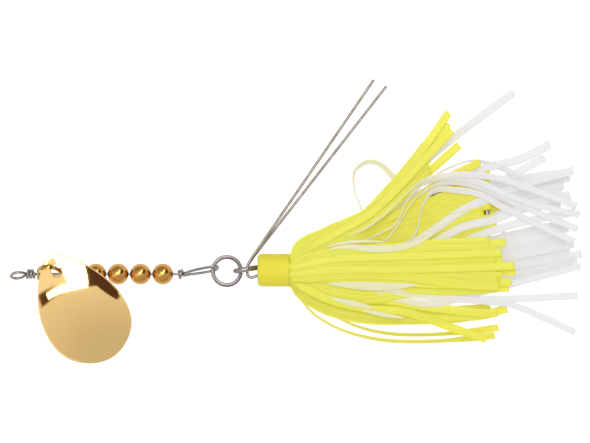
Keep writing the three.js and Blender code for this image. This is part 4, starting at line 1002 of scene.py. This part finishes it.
def make_hook():
    """The hook: a ring eye, a straight shank, a round bend and a spear that tapers to its point, with a
    barb on its inner side."""
    eye = np.radians(np.linspace(*HOOK_EYE_DEGREES, HOOK_EYE_STEPS))
    turn = np.linspace(0, HOOK_BEND_TURN, HOOK_BEND_STEPS)
    neck = np.array(HOOK_NECK_SHARES) * HOOK_EYE_RADIUS
    bend = hook_place(HOOK_SHANK + np.sin(turn) * HOOK_BEND_RADIUS, (1 - np.cos(turn)) * HOOK_BEND_RADIUS)
    forward = in_plan(HOOK_TILT + HOOK_BEND_TURN)
    inward = in_plan(HOOK_TILT + HOOK_BEND_TURN + math.pi / 2)
    spear = bend[-1] + forward * HOOK_SPEAR
    body = smooth_path(np.vstack([
        hook_place(np.cos(eye) * HOOK_EYE_RADIUS, 0.0, np.sin(eye) * HOOK_EYE_RADIUS),
        hook_place(neck[:, 0], 0.0, neck[:, 1]),
        hook_place([HOOK_EYE_RADIUS + COLLAR_LENGTH, HOOK_SHANK / 2]),
        bend,
        spear,
    ]), HOOK_STEPS)
    point = spear + np.linspace(0, 1, HOOK_POINT_STEPS + 1)[1:, None] * forward * HOOK_POINT
    taper = np.linspace(1, HOOK_TIP_SHARE, HOOK_POINT_STEPS) ** HOOK_TAPER
    radius = np.concatenate([np.ones(len(body)), taper]) * HOOK_WIRE / 2
    wire = grid_piece("hook_wire", tube_grid(np.vstack([body, point]), radius, HOOK_SIDES, domed=False))
    start = spear + forward * BARB_START + inward * HOOK_WIRE * BARB_START_SHARE
    barb_tip = spear - forward * HOOK_BARB + inward * HOOK_WIRE
    foot = spear - forward * HOOK_BARB * BARB_FOOT_SHARES[0] + inward * HOOK_WIRE * BARB_FOOT_SHARES[1]
    share = np.linspace(0, 1, BARB_STEPS)[:, None]
    ridge = start + (barb_tip - start) * share
    under = start + (foot - start) * share
    half = Z_AXIS * HOOK_WIRE * BARB_HALF_SHARE * (1 - share ** 2 * BARB_TAPER_SHARE)
    narrow = half * BARB_RIDGE_SHARE
    corners = [ridge + narrow, ridge - narrow, under - half, under + half]
    barb = grid_piece("hook_barb", np.stack(corners, axis=1))
    outward(barb)
    finished(joined("hook_forged", [wire, barb]), NICKEL, "hook", "nickel_plate", "hook")


def make_collar():
    """The collar: a lathed band whose front corner is round, with a low lip at the back and slight
    unevenness, as if pulled on by hand."""
    radius = COLLAR_DIAMETER / 2
    corner = np.radians(np.linspace(0, 90, COLLAR_CORNER_STEPS))
    rounding = np.stack([1 - np.cos(corner), np.sin(corner) - 1], axis=1) * COLLAR_ROUND + (0, radius)
    band = np.linspace(COLLAR_ROUND, COLLAR_LENGTH - COLLAR_LIP_LENGTH, COLLAR_STEPS + 1)[1:]
    profile = np.vstack([COLLAR_MOUTH, rounding, np.stack([band, np.full(COLLAR_STEPS, radius)], axis=1),
                         np.array(COLLAR_LIP) + (COLLAR_LENGTH, radius),
                         np.array(COLLAR_BORE) + (COLLAR_LENGTH, 0)])
    grid = lathed(profile, COLLAR_SIDES)
    turn = np.linspace(0, 2 * math.pi, COLLAR_SIDES, endpoint=False)[:, None]
    grow = np.clip((profile[:, 0] - COLLAR_PLAIN) / COLLAR_LENGTH, 0, 1)
    grid[..., 0] += waves(turn, COLLAR_END_WAVES) * grow
    grid[..., 1:] *= 1 + waves(turn, COLLAR_SWAY_SHARES)[..., None]
    piece = ring_piece("collar_band", grid + np.array([COLLAR_FRONT, COLLAR_SIDE, HOOK_HEIGHT]))
    finished(piece, RUBBER, "hook", "collar_rubber", "collar")


def make_guard(name, level, setback, length, angle):
    """A guard wire: out of the collar, down and round through the hook's eye, then one straight arm. The
    whole wire is one piece that bends near its root."""
    x, y = HOOK_EYE_CENTRE[:2]
    height = HOOK_HEIGHT + level * GUARD_SPACING / 2
    direction = in_plan(angle)
    base = np.array([x + setback, y + GUARD_ARM_BASE, height])
    bend = raised(np.array([
        (COLLAR_FRONT + GUARD_SOCKET, y - GUARD_DROP),
        (COLLAR_FRONT + GUARD_SOCKET / 2, y - GUARD_DROP),
        (COLLAR_FRONT, y - GUARD_DROP),
        (COLLAR_FRONT - GUARD_BEND_SAG, y - GUARD_DROP - GUARD_BEND_SAG / 4),
        (x + GUARD_ENTRY_OFFSET, y - GUARD_DROP - GUARD_BEND_SAG),
        (x + GUARD_TURN_OFFSET, y - GUARD_DROP),
        (x + GUARD_EYE_OFFSET, y - GUARD_DROP / 3),
        (x + GUARD_EYE_OFFSET, y + GUARD_DROP / 3),
    ]), height)
    bent = smooth_path(np.vstack([bend, base - direction * GUARD_ARM_BASE / 3, base]), GUARD_BEND_STEPS)
    arm = base + np.linspace(0, 1, GUARD_ARM_STEPS)[1:, None] * direction * length
    wire = tube_grid(np.vstack([bent, arm]), GUARD_WIRE / 2, GUARD_SIDES)
    piece = grid_piece(f"guard_{name}_spring", wire)
    piece.data.materials.append(SPRING)
    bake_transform(piece)
    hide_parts(f"guard_root_{name}", f"guard_arm_{name}")


def between(share, table):
    """Values between the rows of a table of shares and values."""
    return np.interp(share, *np.array(table).T)


def bump_share(value, centre, spread):
    """One at the centre, falling to nothing at the spread, as the square of a cosine."""
    return np.cos(np.clip(np.abs(value - centre) / spread, 0, 1) * math.pi / 2) ** 2


def smooth_steps(share, table):
    """Values between the rows of a table, each span eased as three squares less two cubes."""
    at, values = np.array(table, float).T
    span = np.clip(np.searchsorted(at, share, side="right") - 1, 0, len(at) - 2)
    part = np.clip((share - at[span]) / (at[span + 1] - at[span]), 0, 1)
    return values[span] + (values[span + 1] - values[span]) * part ** 2 * (3 - 2 * part)


def skirt_height(layer, x_share, side):
    """Height of a layer: its rank times the pitch above or below the hook's slot, with a lesser pitch
    towards the sides of the bundle, and bulged above by a half sine of the length."""
    rank = np.abs(layer)
    across = np.clip(np.abs(side) / between(x_share, BUNDLE_HALVES), 0, 1)
    level = HOOK_SLOT + (rank - 1) * LAYER_PITCH * (1 - SIDE_PITCH_SHARE * across ** 2)
    bulge = SKIRT_BULGE * rank / LAYERS_PER_SIDE * np.sin(math.pi * np.clip(x_share, 0, 1))
    above = HOOK_HEIGHT + level + bulge * (1 - SIDE_BULGE_SHARE * across ** 2)
    below = HOOK_HEIGHT - level - SKIRT_SETTLE * np.clip(x_share / WIDEN_SHARE, 0, 1)
    return np.where(layer > 0, above, below)


def skirt_route(route):
    """A route from thousandths of the skirt's length."""
    return np.array(route) / 1000 * SKIRT_LENGTH


def root_side(name):
    """Roots of one layer stand side by side across the round mouth of the collar."""
    layer = STRIPS[name][0]
    mates = [other for other in STRIPS if STRIPS[other][0] == layer]
    if len(mates) == 1:
        return 0.0
    level = HOOK_SLOT + (abs(layer) - 1) * LAYER_PITCH
    reach = math.sqrt(SKIRT_ROOT_RADIUS ** 2 - level ** 2) - STRIP_ROOT_WIDTH / 2
    return reach * (1 - 2 * mates.index(name) / (len(mates) - 1))


def strip_plan(name):
    """The strip's centre line in plan, from inside the collar's mouth to its cut end."""
    root = [(share * SKIRT_LENGTH, root_side(name)) for share in (ROOT_START_SHARE, 0, ROOT_RUN_SHARE)]
    return smooth_path(np.vstack([root, skirt_route(STRIPS[name][1])]), STRIP_STEPS)


def strip_width(share, root, full):
    """Width of a strip: narrow where the collar gathers it, full a little further on."""
    return root + (full - root) * np.clip(share / WIDEN_SHARE, 0, 1)


def ribbon_grid(plan, levels, width, rng, rise=0.0, rolls=FLAT_ROLLS, lean=0.0):
    """A cut strip along a route in plan. Each section is a thin bar with tapered edges, slightly cupped.
    The strip follows its layer's height, arches by its rise and turns on edge by its rolls, with a slow
    waver, and its end is cut at a slight slant."""
    share = np.linspace(0, 1, len(plan))
    along = tangents(plan)[:, None]
    side = along[..., ::-1] * (-1, 1)
    across, face = np.array(SECTION_SHARES).T
    phase = rng.uniform(0, 2 * math.pi, 4)
    cup = rng.uniform(-CUP_SHARE, CUP_SHARE)
    waver = rng.uniform(*WAVER_ROLL) * np.sin(share * rng.uniform(*WAVER_RUN) + phase[0])
    slant = rng.uniform(-SLANT_SHARE, SLANT_SHARE)
    roll = np.pad(between(share, [(0, 0), *rolls]), ROLL_MEAN // 2, mode="edge")
    roll = np.convolve(roll, np.full(ROLL_MEAN, 1 / ROLL_MEAN), mode="valid")
    turn = np.radians(roll + waver * np.clip((share - WAVER_START_SHARE) * 2, 0, 1) + lean)[:, None]
    edges = [(size, rate, start) for (size, rate), start in zip(EDGE_WAVE_SHARES, phase[1:])]
    half = (width / 2 * (1 + waves(share, edges)))[:, None]
    offset = across * half
    cut = np.clip((share[:, None] - 1 + CUT_SHARE) / CUT_SHARE, 0, 1) * slant * offset
    flat = plan[:, None] + side * (offset * np.cos(turn))[..., None] + along * cut[..., None]
    level = smooth_steps(share, levels if isinstance(levels, list) else [(0, levels), (1, levels)])[:, None]
    arch = rise * bump_share(share, RISE_CENTRE_SHARE, RISE_SPREAD_SHARE)[:, None]
    height = skirt_height(level, plan[:, :1] / SKIRT_LENGTH, flat[..., 1]) + arch
    skin = face * STRIP_THICKNESS / 2 + cup * (across ** 2 - CUP_LEVEL_SHARE) * half
    height = height + offset * np.sin(turn) + skin * np.cos(turn)
    return raised(flat - side * (skin * np.sin(turn))[..., None], height) + SKIRT_ROOT


def make_strip(name):
    """One of the strips that the CAD model has too."""
    layer = STRIPS[name][0]
    rise, rolls = ON_EDGE.get(name, (0, FLAT_ROLLS))
    rng = np.random.default_rng(STRIP_SEED + list(STRIPS).index(name))
    full = STRIP_WIDTH if name in ON_EDGE else FLAT_STRIP_WIDTH
    share = np.linspace(0, 1, STRIP_STEPS)
    width = strip_width(share, STRIP_ROOT_WIDTH, full) * rng.uniform(*STRIP_WIDTH_SHARES)
    grid = ribbon_grid(strip_plan(name), CLIMBS.get(name, layer), width, rng, rise, rolls)
    piece = grid_piece(f"skirt_{name}", grid)
    outward(piece)
    colour = name.split("_")[0]
    finished(piece, VINYLS[colour], "hook", f"{colour}_vinyl", f"strip_{name}")


def make_fill(name):
    """Strips side by side between two routes: each route is a blend of the two, and each strip leans a
    little, so that its edge lies under the next one's. A single strip is pointed at both ends."""
    colour, levels, number, lengths, full, first, last = FILLS[name]
    rng = np.random.default_rng(FILL_SEED + list(FILLS).index(name))
    share = np.linspace(0, 1, FILL_STEPS)
    near, far = (smooth_path(skirt_route(route), GUIDE_STEPS) for route in (first, last or first))
    root = STRIP_ROOT_WIDTH if first[0][0] == 0 else full * FILL_ROOT_SHARE
    pieces = []
    for index, part in enumerate(np.linspace(0, 1, number)):
        length = lengths[index] if isinstance(lengths, list) else rng.uniform(lengths, 1.0)
        plan = (near * (1 - part) + far * part)[:int(GUIDE_STEPS * length)]
        width = strip_width(share, root, full) * rng.uniform(*FILL_WIDTH_SHARES)
        if number == 1:
            width = full * (POINT_SHARE + np.sin(math.pi * share) ** POINT_EASE)
        grid = ribbon_grid(evenly(plan, FILL_STEPS), levels, width, rng, lean=SHINGLE_DEGREES)
        pieces.append(grid_piece(f"{name}_{index}", grid))
    piece = joined(f"skirt_fill_{name}", pieces)
    outward(piece)
    finished(piece, VINYLS[colour], "hook", f"{colour}_vinyl")


def make_gather():
    """The gathered root of the skirt: ovals between its two sides behind the collar, with pleats as a sum
    of two sines about the oval that deepen away from the collar."""
    along = np.linspace(*GATHER_SPAN_SHARES, GATHER_STEPS)[:, None]
    far = between(along, smooth_path(GATHER_FAR_SHARES, GATHER_EDGE_STEPS)) * SKIRT_LENGTH
    near = between(along, smooth_path(GATHER_NEAR_SHARES, GATHER_EDGE_STEPS)) * SKIRT_LENGTH
    turn = np.linspace(0, 2 * math.pi, GATHER_SIDES, endpoint=False)
    deep = np.clip(along / PLEAT_START_SHARE, 0, 1) * PLEAT_DEPTH_SHARE
    pleat = 1 - deep * sum(size * (1 + np.sin(turn * times + along * run + phase)) / 2
                           for size, times, run, phase in PLEAT_SHARES)
    grid = np.stack([along * SKIRT_LENGTH + turn * 0,
                     (far + near) / 2 + (far - near) / 2 * np.cos(turn) * pleat,
                     HOOK_HEIGHT + between(along, GATHER_HEIGHTS) * np.sin(turn) * pleat], axis=-1)
    piece = grid_piece("skirt_gather", grid + SKIRT_ROOT)
    outward(piece)
    finished(piece, VINYLS["yellow"], "hook", "yellow_vinyl")


def make_camera():
    """Straight down, framed as the photograph: a pixel is PIXEL wide at the level SHOT_LEVEL."""
    data = bpy.data.cameras.new("shot")
    data.lens = LENS
    data.sensor_width = SENSOR
    data.clip_end = FAR_CLIP
    camera = add_object("shot", data)
    x = (SHOT_CENTRE[0] - LINE_EYE_PIXEL[0]) * PIXEL + PLACE[0]
    y = (LINE_EYE_PIXEL[1] - SHOT_CENTRE[1]) * PIXEL + PLACE[1]
    distance = SHOT_WIDTH * PIXEL * LENS / SENSOR
    camera.location = (x / 1000, y / 1000, (distance + SHOT_LEVEL) / 1000)
    bpy.context.scene.camera = camera


def make_floor():
    """A plain square below the bait."""
    mesh = bpy.data.meshes.new("floor")
    corners = [(-1, -1), (1, -1), (1, 1), (-1, 1)]
    mesh.from_pydata([(x * FLOOR_HALF, y * FLOOR_HALF, -FLOOR_DROP) for x, y in corners], [], [(0, 1, 2, 3)])
    shader = Shader("floor", Base_Color=(FLOOR_GREY, FLOOR_GREY, FLOOR_GREY, 1), Roughness=0.9,
                    Emission_Color=(1, 1, 1, 1), Emission_Strength=FLOOR_GLOW)
    mesh.materials.append(shader.material)
    add_object("floor", mesh)


def make_lamp(name, start, end, width):
    """A long rectangular lamp that faces down, between two points of the plane at the lamps' height. Its
    energy is its glow times pi times its area."""
    x, y = (end[0] - start[0], end[1] - start[1])
    length = math.hypot(x, y)
    data = bpy.data.lights.new(name, "AREA")
    data.shape = "RECTANGLE"
    data.size = length
    data.size_y = width
    data.energy = LAMP_GLOW * math.pi * length * width
    lamp = add_object(name, data)
    lamp.location = ((start[0] + end[0]) / 2, (start[1] + end[1]) / 2, LAMP_HEIGHT)
    lamp.rotation_euler = (0, 0, math.atan2(y, x))


def make_world():
    """The studio by direction: a card that fades with its distance below a slanted edge, a pale wall above
    it, a dark flag at the right whose foot slants, and one at the left along the edge."""
    world = bpy.data.worlds.new("studio")
    bpy.context.scene.world = world
    world.use_nodes = True
    nodes = Nodes(world.node_tree)
    place = nodes.add("ShaderNodeTexCoord").outputs["Generated"]
    across, up, height = nodes.add("ShaderNodeSeparateXYZ", {0: place}).outputs

    def step(value, start, end):
        """Nothing at the start and one at the end, eased."""
        return nodes.ramp(value, start, end, kind="SMOOTHSTEP")

    def product(first, *others):
        """Values multiplied one by one."""
        for other in others:
            first = nodes.figure("MULTIPLY", first, other)
        return first

    slope = nodes.figure("ADD", product(across, EDGE_SLOPE), product(height, EDGE_PLACE))
    edge = nodes.figure("SUBTRACT", up, slope)
    card = nodes.ramp(edge, 0.0, -1.0, CARD_NEAR, CARD_FAR)
    wall = nodes.ramp(edge, *WALL_SPAN, WALL_NEAR, WALL_FAR)
    lean = nodes.figure("ADD", across, product(up, RIGHT_FLAG_LEAN))
    fall = nodes.figure("ADD", up, product(across, RIGHT_FLAG_FALL))
    foot = nodes.figure("MAXIMUM", step(fall, *RIGHT_FLAG_FOOT), step(edge, *RIGHT_FLAG_SEAT))
    right = product(foot, step(lean, *RIGHT_FLAG_SIDE), step(lean, *RIGHT_FLAG_END))
    left = product(step(across, *LEFT_FLAG_SIDE), step(edge, *LEFT_FLAG_FOOT), step(edge, *LEFT_FLAG_HEAD))
    flags = product(nodes.figure("MAXIMUM", right, left), step(height, *FLAG_HORIZON))
    open_sky = nodes.blend(step(edge, EDGE_SOFTNESS, -EDGE_SOFTNESS), wall, card, "FLOAT")
    back = nodes.tree.nodes["Background"]
    nodes.put(back.inputs["Strength"], nodes.blend(flags, open_sky, FLAG, "FLOAT"))
    nodes.put(back.inputs["Color"], nodes.blend(flags, (1, 1, 1, 1), FLAG_COLOUR))


make_camera()
make_floor()
make_world()
for lamp, places in LAMPS.items():
    make_lamp(lamp, *places)
make_wire_shaft()
make_clevis()
make_blade()
for number in range(BEAD_COUNT):
    make_bead(number)
make_split_ring()
make_hook()
make_collar()
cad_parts["skirt_sleeve"].data.materials.clear()
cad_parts["skirt_sleeve"].data.materials.append(SLEEVE)
for guard, sizes in GUARDS.items():
    make_guard(guard, *sizes)
make_gather()
for strip in STRIPS:
    make_strip(strip)
for fill in FILLS:
    make_fill(fill)

scene = bpy.context.scene
scene.view_settings.view_transform = "Standard"
scene.view_settings.look = "None"
